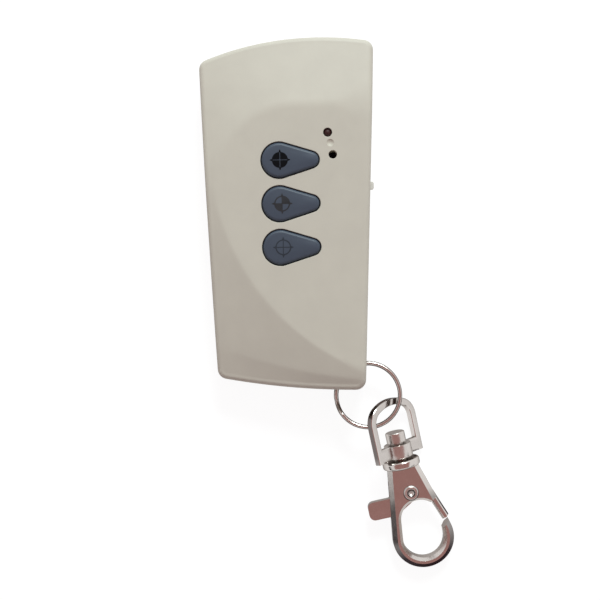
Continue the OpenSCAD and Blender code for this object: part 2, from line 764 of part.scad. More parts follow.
// Places along a bend as [x, y, outward direction], and a section carried along such places
function bend_row(c, r, a0, a1, n) =
  [for (i = [0:n]) let(a = a0 + (a1 - a0) * i / n) [c[0] + r * cos(a), c[1] + r * sin(a), a]];
function rest_of(row) = [for (i = [1:len(row) - 1]) row[i]];
module swept_bar(places, section) {
  points = [for (p = places, q = section) [p[0] + q[0] * cos(p[2]), p[1] + q[0] * sin(p[2]), q[1]]];
  polyhedron(points, wound_faces(len(places), len(section)));
}

collar_y = flange_t / 2 + swivel_gap;
collar_end = collar_y + collar_len;
shoulder_r = 3.6;
arch_r = 9;
module swivel_eye() {
  half = (eye_w - eye_bar) / 2;
  spread = asin((half - shoulder_r) / (arch_r - shoulder_r));
  arch_y = clasp_drop + ring_half + eye_h + eye_bar / 2 - arch_r;
  shoulder_y = arch_y + (arch_r - shoulder_r) * cos(spread);
  foot_in = 0.05;
  foot_half = eye_w / 2 - eye_bevel;
  places = concat(
    [[half, collar_y, 0]],
    bend_row([half - shoulder_r, shoulder_y], shoulder_r, 0, 90 - spread, 8),
    rest_of(bend_row([0, arch_y], arch_r, 90 - spread, 90 + spread, 12)),
    rest_of(bend_row([shoulder_r - half, shoulder_y], shoulder_r, 90 + spread, 180, 8)),
    [[-half, collar_y, 180]]
  );
  color(nickel) in_clasp() rotate([0, eye_roll, 0]) difference() {
    union() {
      swept_bar(places, bar_section(eye_bar, eye_bar, eye_bevel));
      translate([-foot_half, collar_y + collar_len / 2, 0]) rotate([90, 0, 90]) linear_extrude(2 * foot_half)
        polygon(bar_section(collar_len - 2 * foot_in, eye_bar - 2 * foot_in, eye_bevel));
      along_y(collar_y) cylinder(h = collar_len, d = collar_d, $fn = 64);
    }
    along_y(0) cylinder(h = collar_end + 1, d = swivel_d + 2 * run_gap, $fn = 48);
  }
}

bend_c = [bend_x, -bend_len];
bend_in = hook_r - hook_bar;
rivet_c = [rivet_x, -rivet_len];
tip_out = 5.44;
tip_up = 1.95;
tip_c = bend_c + [tip_out, tip_up];
throat_right = 0.25;
throat_drop = 6.4;
throat_c = [bend_x + throat_right, rivet_c[1] - throat_drop];
throat_r = 4.35;
slot_h = lever_t + 2 * slip;
flange_edge = 0.5;
swage_edge = 0.3;
neck_sunk = 0.3;
neck_y = neck_sunk - flange_t / 2;
neck_left = 3.3;
neck_right = 3.5;
shoulder_c = rivet_c + [5.3, -1.95];
shoulder_lip = 0.2;
chin_c = rivet_c + [3.97, -2.96];
function from_tip(along) = tip_c + along * [cos(tip_slant), sin(tip_slant)];
module hook_slab(h, inset) {
  linear_extrude(h, center = true) {
    translate(bend_c) circle(hook_r - inset, $fn = 72);
    polygon([[inset - neck_left, neck_y], [neck_right - inset, neck_y], shoulder_c - [inset, inset / 2]]);
  }
}
module throat_cut() {
  over = 0.2;
  reach = throat_bevel + over;
  linear_extrude(far, center = true) polygon(throat_shape(0));
  for (s = [0, 1]) {
    mirror([0, 0, s]) hull() {
      translate([0, 0, hook_t / 2 - reach - over]) linear_extrude(over) polygon(throat_shape(-over));
      translate([0, 0, hook_t / 2 + over]) linear_extrude(over) polygon(throat_shape(reach));
    }
  }
}
function throat_shape(grow) = joined(bend_c, bend_in + grow, throat_c, throat_r + grow, 20);
module mouth_cut() {
  shoulder_end = shoulder_c - [0, shoulder_lip];
  outside = [shoulder_end + [hook_r, 0], from_tip(3 * hook_bar)];
  linear_extrude(far, center = true)
    polygon(concat([throat_c, chin_c, shoulder_end], outside, [from_tip(-hook_bar)]));
}
module hook_body() {
  swage_y = collar_end + swivel_gap;
  rim_r = flange_d / 2 - flange_edge;
  color(nickel) in_clasp() {
    along_y(-flange_t / 2) rotate_extrude($fn = 96) polygon(concat(
      [[0, 0]],
      arc([rim_r, flange_edge], flange_edge, -90, 0, 4),
      arc([rim_r, flange_t - flange_edge], flange_edge, 0, 90, 4),
      [[0, flange_t]]
    ));
    along_y(0) cylinder(h = swage_y + neck_sunk, d = swivel_d, $fn = 48);
    along_y(swage_y) rotate_extrude($fn = 64) polygon(concat(
      [[0, 0], [swage_d / 2, 0]],
      arc([swage_d / 2 - swage_edge, swage_h - swage_edge], swage_edge, 0, 90, 4),
      [[0, swage_h]]
    ));
    difference() {
      hull() {
        hook_slab(hook_t - 2 * hook_bevel, 0);
        hook_slab(hook_t, hook_bevel);
      }
      throat_cut();
      mouth_cut();
      lever_slot();
      translate([rivet_c[0], rivet_c[1], -far / 2]) cylinder(h = far, d = rivet_d, $fn = 32);
    }
  }
}
slot_up = 3.1;
slot_low = 4.9;
slot_arm = 5.2;
module lever_slot() {
  top = rivet_c[1] + slot_up;
  linear_extrude(slot_h, center = true)
    polygon([[-far, rivet_c[1] - slot_low], [-far, top], [far, top], [far, rivet_c[1] - slot_arm]]);
}

hub_r = 1.95;
spring_seat_d = spring_d + spring_wire + 4 * slip;
spring_seat_h = 1;
arm_out = 4.3;
arm_low = 1.45;
arm_end = [0.4, 1.3];
root_in = 4.6;
module gate_lever() {
  arm_from = rivet_c + [arm_out, -arm_low];
  arm_to = tip_c + arm_end;
  tab_x = rivet_c[0] - thumb_out + thumb_r;
  tab_y = rivet_c[1] - thumb_low;
  tab_half = thumb_w / 2;
  tab_in = tab_half - thumb_r;
  root_x = rivet_c[0] - root_in;
  color(nickel) in_clasp() difference() {
    union() {
      linear_extrude(lever_t, center = true) {
        polygon(joined(rivet_c, hub_r, arm_from, gate_d / 2, 20));
        polygon(joined(rivet_c, hub_r, [root_x, tab_y], tab_half, 20));
        polygon(joined([tab_x, tab_y + tab_in], thumb_r, [tab_x, tab_y - tab_in], thumb_r, 12));
        translate([tab_x, tab_y - tab_half]) square([root_x - tab_x, thumb_w]);
      }
      gate_arm(arm_from, arm_to);
    }
    tip_slope_cut();
    translate([rivet_c[0], rivet_c[1], -far / 2]) cylinder(h = far, d = rivet_d + 2 * run_gap, $fn = 32);
    translate([rivet_c[0], rivet_c[1], lever_t / 2 - spring_seat_h])
      cylinder(h = far, d = spring_seat_d, $fn = 40);
  }
}
module gate_arm(from, to) {
  run = to - from;
  translate([from[0], from[1], 0]) rotate(atan2(run[1], run[0])) rotate([0, 90, 0])
    cylinder(h = norm(run), d = gate_d, $fn = 32);
}
module tip_slope_cut() {
  translate(tip_c) rotate(tip_slant) translate([-far / 4, gate_tip_gap - far, -far / 2]) cube(far);
}
module gate_rivet() {
  head_h = 0.3;
  hollow_d = 1.2;
  hollow_h = 0.5;
  color(nickel) in_clasp() translate(rivet_c) difference() {
    union() {
      cylinder(h = hook_t, d = rivet_d, center = true, $fn = 32);
      for (s = [-1, 1]) {
        translate([0, 0, s * (hook_t + head_h) / 2])
          cylinder(h = head_h, d = rivet_head_d, center = true, $fn = 48);
      }
    }
    translate([0, 0, hook_t / 2 - hollow_h]) cylinder(h = far, d = hollow_d, $fn = 32);
  }
}
module gate_spring() {
  turns = 1.5;
  pitch = 0.42;
  spring_angles = [for (i = [0:24]) i * 15 * turns];
  spring_heights = [for (a = spring_angles) pitch * a / 360];
  color("#8d8a86") in_clasp()
    translate([rivet_c[0], rivet_c[1], lever_t / 2 - spring_seat_h + spring_wire / 2 + run_gap])
    wound_wire(spring_d / 2, spring_angles, spring_heights, spring_wire, 6);
}

rear_shell();
front_shell();
case_screws();
key_arm();
key_part_arm();
key_disarm();
plunger_arm();
plunger_part_arm();
plunger_disarm();
switch_bases();
switch_covers();
circuit_board();
status_led();
led_leads();
buzzer();
side_switch_case();
side_switch_knob();
coin_cell();
cell_retainer();
cell_contact();
controller_chip();
resonator();
loop_antenna();
split_ring();
swivel_eye();
hook_body();
gate_lever();
gate_rivet();
gate_spring();
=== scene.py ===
"""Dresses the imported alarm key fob.

The moulded shells, keys, printed signs, split ring, swivel eye and rivet are surfaces worked out with numpy
in millimetres, in the frame of the CAD part: +X to the right of the keys, +Y towards the curved top end, +Z
out of the face. They are written to their meshes in metres. The hook, gate lever, side knob and screws keep
their CAD shape with softened edges, and what is inside the case stays as it is.
"""

import json
import math

import bmesh
import bpy
import numpy as np
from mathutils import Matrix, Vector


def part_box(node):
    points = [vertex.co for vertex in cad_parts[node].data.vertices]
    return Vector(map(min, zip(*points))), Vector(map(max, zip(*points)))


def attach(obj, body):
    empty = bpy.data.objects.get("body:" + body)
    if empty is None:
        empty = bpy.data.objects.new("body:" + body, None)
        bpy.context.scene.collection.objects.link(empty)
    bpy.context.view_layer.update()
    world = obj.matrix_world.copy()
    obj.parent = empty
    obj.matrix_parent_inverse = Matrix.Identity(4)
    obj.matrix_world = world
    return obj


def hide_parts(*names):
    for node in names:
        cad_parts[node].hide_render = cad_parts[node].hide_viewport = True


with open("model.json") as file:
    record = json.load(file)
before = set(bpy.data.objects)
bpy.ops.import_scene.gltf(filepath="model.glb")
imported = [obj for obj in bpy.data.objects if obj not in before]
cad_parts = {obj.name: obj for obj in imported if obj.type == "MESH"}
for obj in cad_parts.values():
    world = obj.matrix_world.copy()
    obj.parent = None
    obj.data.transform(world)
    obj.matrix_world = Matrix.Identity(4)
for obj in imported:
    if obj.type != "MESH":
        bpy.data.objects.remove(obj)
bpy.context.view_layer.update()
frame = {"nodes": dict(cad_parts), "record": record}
nodes = frame["nodes"]
MM = 0.001

# Case outline, in millimetres
BODY_W = 35.1
SIDE_TAPER = math.radians(2.35)
TOP_R = 68.3
TOP_C = np.array([6.9, 38.2 - TOP_R])
BOTTOM_R = 160.4
BOTTOM_C = np.array([15.0, BOTTOM_R - 38.4])
CORNER_R = 2.2
LEAST_CORNER_R = 0.4
EDGE_R = 1.2
WALL = 1.7
FLOOR_T = 1.6
PART_Z = 5.2
TONGUE_T = 0.75
TONGUE_H = 0.8
TONGUE_GAP = 0.1
TONGUE_ROOM = 3.0
PARTING_CHAMFER = 0.12
SLIP = 0.15
CUT_OVER = 1.0

# Face
FACE_Z = 13.2
CROWN_Z = 13.7
UNDER_Z = CROWN_Z - WALL
OPENING_BELOW = 4.0
OPENING_ABOVE = 3.0
DISH_R = 1100.0
DISH_C = np.array([8.0, -8.0])
LEAF_C = np.array([1.14, 6.8])
LEAF_R = 16.4
LEAF_LEAN = math.radians(16.8)
SWEEP_R = 58.7
SWEEP_C = LEAF_C + (SWEEP_R - LEAF_R) * np.array([math.cos(LEAF_LEAN), math.sin(LEAF_LEAN)])
SHOULDER_SLOPE = math.tan(math.radians(14))
TOP_EASE = 0.07
TOP_EASE_Y = (12.0, 24.0)
BEVEL_C = np.array([27.2, 81.4])
BEVEL_R = 118.1
BEVEL_LEFT = 0.07
BEVEL_RIGHT = 0.26
BEVEL_SOFT = 0.35
BEVEL_X = (-14.0, 10.0)
CREASE_CRISP = 0.1
CREASE_SOFT = 0.2
CREASE_FADE = 0.9
CREASE_FADE_X = (10.0, 19.0)
CREASE_SOFT_Y = (-5.0, 15.0)

# Keys
KEY_X = -1.82
KEY_Y = 2.0
KEY_PITCH = 9.37
KEY_BIG_R = 4.0
KEY_SMALL_R = 1.95
KEY_REACH = 6.82
KEY_GAP = 0.25
KEY_EDGE_R = 0.65
KEY_CROWN = 0.1
KEY_LIP = 0.35
KEY_LIP_T = 0.8
KEY_LIP_TOP = UNDER_Z - 0.12
KEY_FOOT_R = 1.6
KEY_FOOT_Z = 10.9
KEY_FLARE = 0.12
KEY_SPREAD = math.acos((KEY_BIG_R - KEY_SMALL_R) / KEY_REACH)
KEY_ROUND_N, KEY_SIDE_N = 40, 14
KEYS = {1: "arm", 0: "part_arm", -1: "disarm"}

# Printed signs
SIGN_R = 1.7
SIGN_SHIFT = {1: 0.2, 0: 0.5, -1: 0.58}
SIGN_LINE = 0.28
SIGN_CROSS = 0.2
SIGN_TICK = 2.2
SIGN_TICK_ROOT = 0.55
SIGN_TICK_TIP = 0.12
SIGN_TICK_SUNK = 0.1
SIGN_INSET = 0.06
SIGN_CORE_R = 0.02
SIGN_STEP = 0.09
INK = 0.02
QUARTERS = [(k * math.pi / 2, (k + 1) * math.pi / 2) for k in range(4)]

# Board level and small openings
BOARD_Z = 5.6
BOARD_TOP = 6.6
LED_AT = np.array([8.73, 17.17])
LED_HOLE_R = 0.96
DIMPLE_AT = np.array([9.27, 14.91])
DIMPLE_R = 0.8
DIMPLE_DEPTH = 0.35
PORT_AT = np.array([9.76, 12.4])
PORT_R = 0.9
PORT_WALL = 0.9
ROUND_FLARE = 0.08
ROUND_N = 40
BUZZER_TOP = 8.6
KNOB_Y = 6.0
KNOB_Z = 7.3
KNOB_TRAVEL = 1.5
KNOB_LEN = 1.75
KNOB_T = 1.1
KNOB_SLOT = 0.2
SCREW_IN = 6.15
SCREW_Y = (26.0, 28.5, -25.5)
SCREW_SIDE = (-1, 1, -1)
SCREW_HOLE_R = 1.15
SCREW_SEAT = 1.5
SCREW_SEAT_R = 2.2
SCREW_PILOT_R = 1.05
SCREW_REACH = 8.4
BOSS_R = 2.4
REST_R = 1.5
REST_IN = 4.05
REST_Y = (-8.0, -5.0)
REST_SIDE = (1, -1)

# Split ring and its corner pocket
POST_IN = 2.2
POST_R = 1.5
POST_WEB = 0.9
POCKET_R = 7.6
POCKET_WALL = 1.2
RING_Z = 5.2
RING_D = 15.0
RING_WIRE = 0.95
RING_PITCH = 1.38
POCKET_ROOM = 0.8
RING_HALF = (RING_PITCH + RING_WIRE) / 2
POCKET_LOW = RING_Z - RING_HALF - POCKET_ROOM
POCKET_TOP = RING_Z + RING_HALF + POCKET_ROOM
RING_HEADING = math.radians(-53)
RING_RISE = math.radians(7)
RING_SPLIT = math.radians(257)
RING_STEP = math.radians(15)
RING_N, WIRE_N = 361, 24
RING_END_N, RING_END_SPAN = 3, 3.6

# Clasp: the swivel's line and the rivet's place are the joints' own
JOINTS = {joint["name"]: joint for joint in frame["record"]["behaviour"]["joints"]}
CLASP_AT = np.array(JOINTS["hook_swivel"]["pos_m"]) / MM
SWIVEL_LINE = np.array(JOINTS["hook_swivel"]["axis"])
CLASP_HEADING = math.atan2(-SWIVEL_LINE[0], SWIVEL_LINE[1])
CLASP_TILT = math.asin(SWIVEL_LINE[2])
EYE_ROLL = math.radians(38)
EYE_W = 13.4
EYE_BAR = 1.5
EYE_TOP = 9.86 + RING_HALF + 2.05
EYE_LEG = 3.0
ARCH_R = 9.0
SHOULDER_R = 3.6
FLANGE_T = 1.75
SWIVEL_GAP = 0.5
COLLAR_R = 3.0
COLLAR_LEN = 3.0
COLLAR_SOFT = 0.15
COLLAR_Y = FLANGE_T / 2 + SWIVEL_GAP
SWIVEL_BORE_R = 1.55
RIVET_HEAD_R = 1.7
RIVET_HOLLOW_R = 0.75
RIVET_R = 0.9
RIVET_N = 64
HOOK_T = 4.0
AXIS_R = 1e-4  # stands for the axis in turned profiles


# Mesh making


def grid_faces(rows, columns):
    """Quads of a grid whose columns close round: point (i, j) is number i * columns + j."""
    i, j = np.meshgrid(np.arange(rows - 1), np.arange(columns), indexing="ij")
    k = (j + 1) % columns
    corners = [i * columns + j, i * columns + k, (i + 1) * columns + k, (i + 1) * columns + j]
    return np.stack(corners, axis=-1).reshape(-1, 4).tolist()


def sheet_faces(rows, columns):
    """Quads of an open grid."""
    i, j = np.meshgrid(np.arange(rows - 1), np.arange(columns - 1), indexing="ij")
    a = i * columns + j
    return np.stack([a, a + 1, a + columns + 1, a + columns], axis=-1).reshape(-1, 4).tolist()


def closed_mesh(name, rows, capped=True):
    """Object from rows of points, shape (rows, columns, 3), with an end face on the first and last row."""
    rows = np.asarray(rows, float)
    count, columns = rows.shape[:2]
    faces = grid_faces(count, columns)
    if capped:
        faces.append(list(range(columns)))
        faces.append(list(range((count - 1) * columns, count * columns)))
    return tidy_object(name, rows.reshape(-1, 3), faces)


def tidy_object(name, points, faces):
    """Object of millimetre points: doubles merged and faces turned outwards."""
    mesh = bpy.data.meshes.new(name)
    mesh.from_pydata((np.asarray(points) * MM).tolist(), [], faces)
    build = bmesh.new()
    build.from_mesh(mesh)
    bmesh.ops.remove_doubles(build, verts=build.verts, dist=1e-7)
    bmesh.ops.dissolve_degenerate(build, edges=build.edges, dist=1e-8)
    bmesh.ops.recalc_face_normals(build, faces=build.faces)
    build.to_mesh(mesh)
    build.free()
    piece = bpy.data.objects.new(name, mesh)
    bpy.context.scene.collection.objects.link(piece)
    return piece


def apply_modifiers(piece):
    """Puts the shape that the modifiers give into the mesh."""
    evaluated = piece.evaluated_get(bpy.context.evaluated_depsgraph_get())
    mesh = bpy.data.meshes.new_from_object(evaluated)
    piece.modifiers.clear()
    old = piece.data
    piece.data = mesh
    bpy.data.meshes.remove(old)


def combine(piece, others, operation):
    """Adds, cuts or keeps what is common of closed meshes, one after the other, and deletes the others."""
    for other in others:
        step = piece.modifiers.new(operation.lower(), "BOOLEAN")
        step.operation = operation
        step.solver = "MANIFOLD"
        step.object = other
        bpy.context.view_layer.update()
        apply_modifiers(piece)
        bpy.data.objects.remove(other)
    return piece


def shade(piece, sharp_degrees):
    """Smooth shading with edges left sharp above an angle."""
    piece.data.shade_smooth()
    piece.data.set_sharp_from_angle(angle=math.radians(sharp_degrees))


def dress(piece, material, body, slot, *replaced):
    """Gives a piece its one material and its body, and hides the CAD nodes that it stands for. slot is not
    used.
    """
    piece.data.materials.clear()
    piece.data.materials.append(material)
    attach(piece, body)
    if replaced:
        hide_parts(*replaced)
    return piece


def softened(source, name, width, degrees=30, segments=2, merged=0.002):
    """Copy of a CAD node, merged, with flat triangles joined and its edges rounded by a bevel."""
    piece = nodes[source].copy()
    piece.data = nodes[source].data.copy()
    piece.name = name
    for key in [key for key in piece.keys() if key.startswith("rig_")]:
        del piece[key]
    piece.parent = None
    bpy.context.scene.collection.objects.link(piece)
    build = bmesh.new()
    build.from_mesh(piece.data)
    bmesh.ops.remove_doubles(build, verts=build.verts, dist=merged * MM)
    bmesh.ops.dissolve_limit(build, angle_limit=math.radians(1), verts=build.verts, edges=build.edges)
    build.to_mesh(piece.data)
    build.free()
    bevel = piece.modifiers.new("softened", "BEVEL")
    bevel.width = width * MM
    bevel.segments = segments
    bevel.limit_method = "ANGLE"
    bevel.angle_limit = math.radians(degrees)
    bpy.context.view_layer.update()
    apply_modifiers(piece)
    shade(piece, degrees)
    flats = piece.modifiers.new("flats_stay_flat", "WEIGHTED_NORMAL")
    flats.weight = 90
    flats.keep_sharp = True
    bpy.context.view_layer.update()
    apply_modifiers(piece)
    return piece


# Plane curves


def arc(centre, radius, start, end, count):
    """Points of a circle from angle start to angle end."""
    angle = np.linspace(start, end, count)
    return np.asarray(centre) + radius * np.stack([np.cos(angle), np.sin(angle)], axis=-1)


def line(start, end, count):
    """Points between two ends, without the ends."""
    t = np.linspace(0, 1, count + 2)[1:-1, None]
    return np.asarray(start) * (1 - t) + np.asarray(end) * t


def heading(v):
    """Angle of a vector, from a quarter turn below zero upwards."""
    angle = math.atan2(v[1], v[0])
    return angle + 2 * math.pi if angle < -math.pi / 2 else angle


def corner_at(side, centre, big_r, r, d, end):
    """Centre of a corner round that touches a side wall moved in by d and an end arc moved in by d."""
    along = np.array([side * math.sin(SIDE_TAPER), math.cos(SIDE_TAPER)])
    inward = np.array([-side * math.cos(SIDE_TAPER), math.sin(SIDE_TAPER)])
    q = np.array([side * BODY_W / 2, 0]) + (r + d) * inward
    b = along @ (q - centre)
    k = (q - centre) @ (q - centre) - (big_r - d - r) ** 2
    return q + (end * math.sqrt(b * b - k) - b) * along


CORNER_N, END_N, SIDE_N = 10, 64, 96
FACE_ROWS, CEILING_ROWS, FLAT_ROWS = 64, 14, 8


def outline(d):
    """Case outline moved in by d, always with the same number of points: corner, top end, corner, left side,
    corner, bottom end, corner, right side."""
    r = max(CORNER_R - d, LEAST_CORNER_R)
    tr, tl = (corner_at(s, TOP_C, TOP_R, r, d, 1) for s in (1, -1))
    bl, br = (corner_at(s, BOTTOM_C, BOTTOM_R, r, d, -1) for s in (-1, 1))
    left_low = heading(bl - BOTTOM_C)
    right_low = heading(br - BOTTOM_C)
    right_low += 2 * math.pi if right_low < left_low else 0
    corners = [
        arc(tr, r, -SIDE_TAPER, heading(tr - TOP_C), CORNER_N),
        arc(tl, r, heading(tl - TOP_C), math.pi + SIDE_TAPER, CORNER_N),
        arc(bl, r, math.pi + SIDE_TAPER, left_low, CORNER_N),
        arc(br, r, right_low, 2 * math.pi - SIDE_TAPER, CORNER_N),
    ]
    top = arc(TOP_C, TOP_R - d, heading(tr - TOP_C), heading(tl - TOP_C), END_N + 2)[1:-1]
    bottom = arc(BOTTOM_C, BOTTOM_R - d, left_low, right_low, END_N + 2)[1:-1]
    left = line(corners[1][-1], corners[2][0], SIDE_N)
    right = line(corners[3][-1], corners[0][0], SIDE_N)
    return np.concatenate([corners[0], top, corners[1], left, corners[2], bottom, corners[3], right])


SPINE_TOP = np.array([0.9, 20.0])
SPINE_LOW = np.array([0.3, -20.0])


def spine():
    """Point on the middle line for each point of outline(): the ends fan out, the sides share its stretch."""
    fan = 2 * CORNER_N + END_N
    down = line(SPINE_TOP, SPINE_LOW, SIDE_N)
    return np.concatenate([np.tile(SPINE_TOP, (fan, 1)), down, np.tile(SPINE_LOW, (fan, 1)), down[::-1]])


def side_x(y):
    """Distance of a side wall from the middle line at y: half the width, plus what the taper adds."""
    return BODY_W / 2 + y * math.tan(SIDE_TAPER)


def key_centre(i):
    """Middle of key i's big end."""
    return np.array([KEY_X, KEY_Y + i * KEY_PITCH])


def teardrop(i, d):
    """Outline of key i moved in by d: two rounds joined by their outer tangents."""
    c1 = key_centre(i)
    big = arc(c1, KEY_BIG_R - d, KEY_SPREAD, 2 * math.pi - KEY_SPREAD, KEY_ROUND_N)
    small = arc(c1 + [KEY_REACH, 0], KEY_SMALL_R - d, -KEY_SPREAD, KEY_SPREAD, KEY_ROUND_N // 2)
    low, high = line(big[-1], small[0], KEY_SIDE_N), line(small[-1], big[0], KEY_SIDE_N)
    return np.concatenate([big, low, small, high])


def key_middle(i):
    """Point on the line between a key's two centres for each point of teardrop()."""
    c1 = key_centre(i)
    c2 = c1 + [KEY_REACH, 0]
    run = line(c1, c2, KEY_SIDE_N)
    return np.concatenate([np.tile(c1, (KEY_ROUND_N, 1)), run, np.tile(c2, (KEY_ROUND_N // 2, 1)), run[::-1]])


def key_disc(i, radius):
    """Circle about a key's big end, point for point with teardrop()."""
    rest = 2 * KEY_SIDE_N + KEY_ROUND_N // 2
    big = np.linspace(KEY_SPREAD, 2 * math.pi - KEY_SPREAD, KEY_ROUND_N)
    turn = np.concatenate([big, np.linspace(-KEY_SPREAD, KEY_SPREAD, rest + 2)[1:-1]])
    return key_centre(i) + radius * np.stack([np.cos(turn), np.sin(turn)], axis=-1)


# The moulded face


def dish_height(p):
    """Shallow dish: a paraboloid that is lowest at DISH_C."""
    return FACE_Z + ((p - DISH_C) ** 2).sum(-1) / (2 * DISH_R)


def leaf_distance(p):
    """Distance outside the leaf-shaped crease: straight at the top right, then a round, then a long sweep."""
    v = p - LEAF_C
    turn = np.mod(np.arctan2(v[..., 1], v[..., 0]), 2 * math.pi)
    top = v[..., 1] - LEAF_R
    round_ = np.hypot(v[..., 0], v[..., 1]) - LEAF_R
    sweep = np.hypot(p[..., 0] - SWEEP_C[0], p[..., 1] - SWEEP_C[1]) - SWEEP_R
    side = np.where(turn < math.pi / 2, top, round_)
    return np.where(turn > math.pi + LEAF_LEAN, sweep, side)


def lower_of(a, b, soft):
    """The lower of two heights, rounded off where they are within soft of each other."""
    h = np.clip(0.5 + 0.5 * (b - a) / soft, 0, 1)
    return b * (1 - h) + a * h - soft * h * (1 - h)


def ramp(value, start, end):
    """Straight climb from 0 at start to 1 at end, level outside them."""
    return np.clip((value - start) / (end - start), 0, 1)


def eased(value, start, end):
    """Smooth step from 0 at start to 1 at end."""
    t = ramp(value, start, end)
    return t * t * (3 - 2 * t)


def face_height(p):
    """Dish inside the crease, falling shoulders outside it, and a bevel along the bottom end. Past its upper
    edge, a circle, the bevel takes off the distance past it times a slope that grows to the right."""
    x, y = p[..., 0], p[..., 1]
    softening = CREASE_SOFT - CREASE_CRISP + CREASE_FADE * eased(x, *CREASE_FADE_X)
    crease = CREASE_CRISP + softening * ramp(y, *CREASE_SOFT_Y)
    shoulder = CROWN_Z - (SHOULDER_SLOPE - TOP_EASE * eased(y, *TOP_EASE_Y)) * leaf_distance(p)
    past = np.hypot(x - BEVEL_C[0], y - BEVEL_C[1]) - BEVEL_R
    fall = (past + np.sqrt(past * past + BEVEL_SOFT**2)) / 2
    slope = BEVEL_LEFT + (BEVEL_RIGHT - BEVEL_LEFT) * ramp(x, *BEVEL_X)
    return lower_of(dish_height(p), shoulder, crease) - slope * fall


def at_height(p, z):
    """Points of a plane curve at a height, or at one height each."""
    return np.column_stack([p, np.broadcast_to(z, len(p))])


def fan_rows(edge, count, height):
    """Rows from an outline in to the middle line, with heights from a function of the plane."""
    t = np.linspace(0, 1, count)[:, None, None]
    p = edge[None] * (1 - t) + spine()[None] * t
    return np.concatenate([p, height(p)[..., None]], axis=-1)


QUARTER = np.linspace(0, math.pi / 2, 9)


def front_skin():
    """Hollow front shell: ceiling, groove for the tongue, rim, wall, rounded edge and face."""
    inner = outline(WALL)
    groove = outline(WALL - TONGUE_T - TONGUE_GAP)
    ceiling = fan_rows(inner, CEILING_ROWS, lambda p: face_height(p) - WALL)[::-1]
    groove_z = PART_Z + TONGUE_H + TONGUE_GAP
    base = PART_Z + PARTING_CHAMFER
    rim = [
        at_height(inner, groove_z),
        at_height(groove, groove_z),
        at_height(groove, PART_Z),
        at_height(outline(PARTING_CHAMFER), PART_Z),
        at_height(outline(0), base),
    ]
    edge = outline(EDGE_R)
    low = face_height(edge) - EDGE_R
    wall = [at_height(outline(0), base + (low - base) * t) for t in (0.3, 0.65)]
    rounded = [at_height(outline(EDGE_R * (1 - math.cos(a))), low + EDGE_R * math.sin(a)) for a in QUARTER]
    face = fan_rows(edge, FACE_ROWS, face_height)[1:]
    return closed_mesh("front_case", np.concatenate([ceiling, rim, wall, rounded, face]), capped=False)


def rear_skin():
    """Rear shell: flat back, rounded edge, wall, rim, tongue and inside floor."""
    edge = outline(EDGE_R)
    back = fan_rows(edge, FLAT_ROWS, lambda p: 0 * p[..., 0])[::-1]
    turn = QUARTER[1:]
    rounded = [at_height(outline(EDGE_R * (1 - math.sin(a))), EDGE_R * (1 - math.cos(a))) for a in turn]
    tongue = outline(WALL - TONGUE_T)
    inner = outline(WALL)
    rim = [
        at_height(outline(0), PART_Z - PARTING_CHAMFER),
        at_height(outline(PARTING_CHAMFER), PART_Z),
        at_height(tongue, PART_Z),
        at_height(tongue, PART_Z + TONGUE_H),
        at_height(inner, PART_Z + TONGUE_H),
    ]
    floor = fan_rows(inner, FLAT_ROWS, lambda p: FLOOR_T + 0 * p[..., 0])
    return closed_mesh("rear_case", np.concatenate([back, rounded, rim, floor]), capped=False)


# Solids that are added to the shells or cut from them


def prism(name, shape, low, high):
    """Straight solid on a plane outline."""
    return closed_mesh(name, [at_height(shape, low), at_height(shape, high)])


def rod(name, at, radius, low, high, count=48):
    """Straight round solid: a prism on a circle."""
    return prism(name, arc(at, radius, 0, 2 * math.pi, count + 1)[:-1], low, high)


def flared(name, shape, flare):
    """Opening through the face: straight below, opening out in a small quarter round at the surface.
    shape(d) is the outline moved in by d."""
    top = face_height(shape(0.0))
    turn = np.linspace(0, math.pi / 2, 5)
    rounded = [at_height(shape(-flare * (1 - math.cos(a))), top - flare * (1 - math.sin(a))) for a in turn]
    under = at_height(shape(0.0), UNDER_Z - OPENING_BELOW)
    over = at_height(shape(-flare), top + OPENING_ABOVE)
    return closed_mesh(name, [under] + rounded + [over])


def round_shape(at, radius):
    """Circle as a function of how far it is moved in."""
    return lambda d: arc(at, radius - d, 0, 2 * math.pi, ROUND_N + 1)[:-1]


def dimple_ball():
    """Ball that leaves a cap of the dimple's width and depth in the dish."""
    r = (DIMPLE_R**2 + DIMPLE_DEPTH**2) / (2 * DIMPLE_DEPTH)
    lift = dish_height(DIMPLE_AT) + r - DIMPLE_DEPTH
    turn = np.linspace(-math.pi / 2, math.pi / 2, 33)[:, None]
    ring = np.linspace(0, 2 * math.pi, 49)[None, :-1]
    x = DIMPLE_AT[0] + r * np.cos(turn) * np.cos(ring)
    y = DIMPLE_AT[1] + r * np.cos(turn) * np.sin(ring)
    z = lift + r * np.sin(turn) + 0 * ring
    return closed_mesh("dimple", np.stack([x, y, z], axis=-1), capped=False)


POST_C = corner_at(1, BOTTOM_C, BOTTOM_R, POST_IN, 0, -1)


def pocket_outline():
    """Three quarters of a disc about the corner post, less the post and its two webs to the corner."""
    outer = math.asin(POST_WEB / POCKET_R)
    inner = math.asin(POST_WEB / POST_R)
    out = arc(POST_C, POCKET_R, outer, 1.5 * math.pi - outer, 90)
    back = arc(POST_C, POST_R, 1.5 * math.pi - inner, inner, 40)
    return np.concatenate([out, back])


def pocket_block(name, low, high):
    """Solid wall round the pocket, kept inside the case."""
    block = rod(name, POST_C, POCKET_R + POCKET_WALL, low, high, 96)
    return combine(block, [prism("case_room", outline(EDGE_R), low - CUT_OVER, high + CUT_OVER)], "INTERSECT")


def from_wall(side, y, inset):
    """Place at y, an inset in from the left (-1) or right (1) side wall."""
    return np.array([side * (side_x(y) - inset), y])


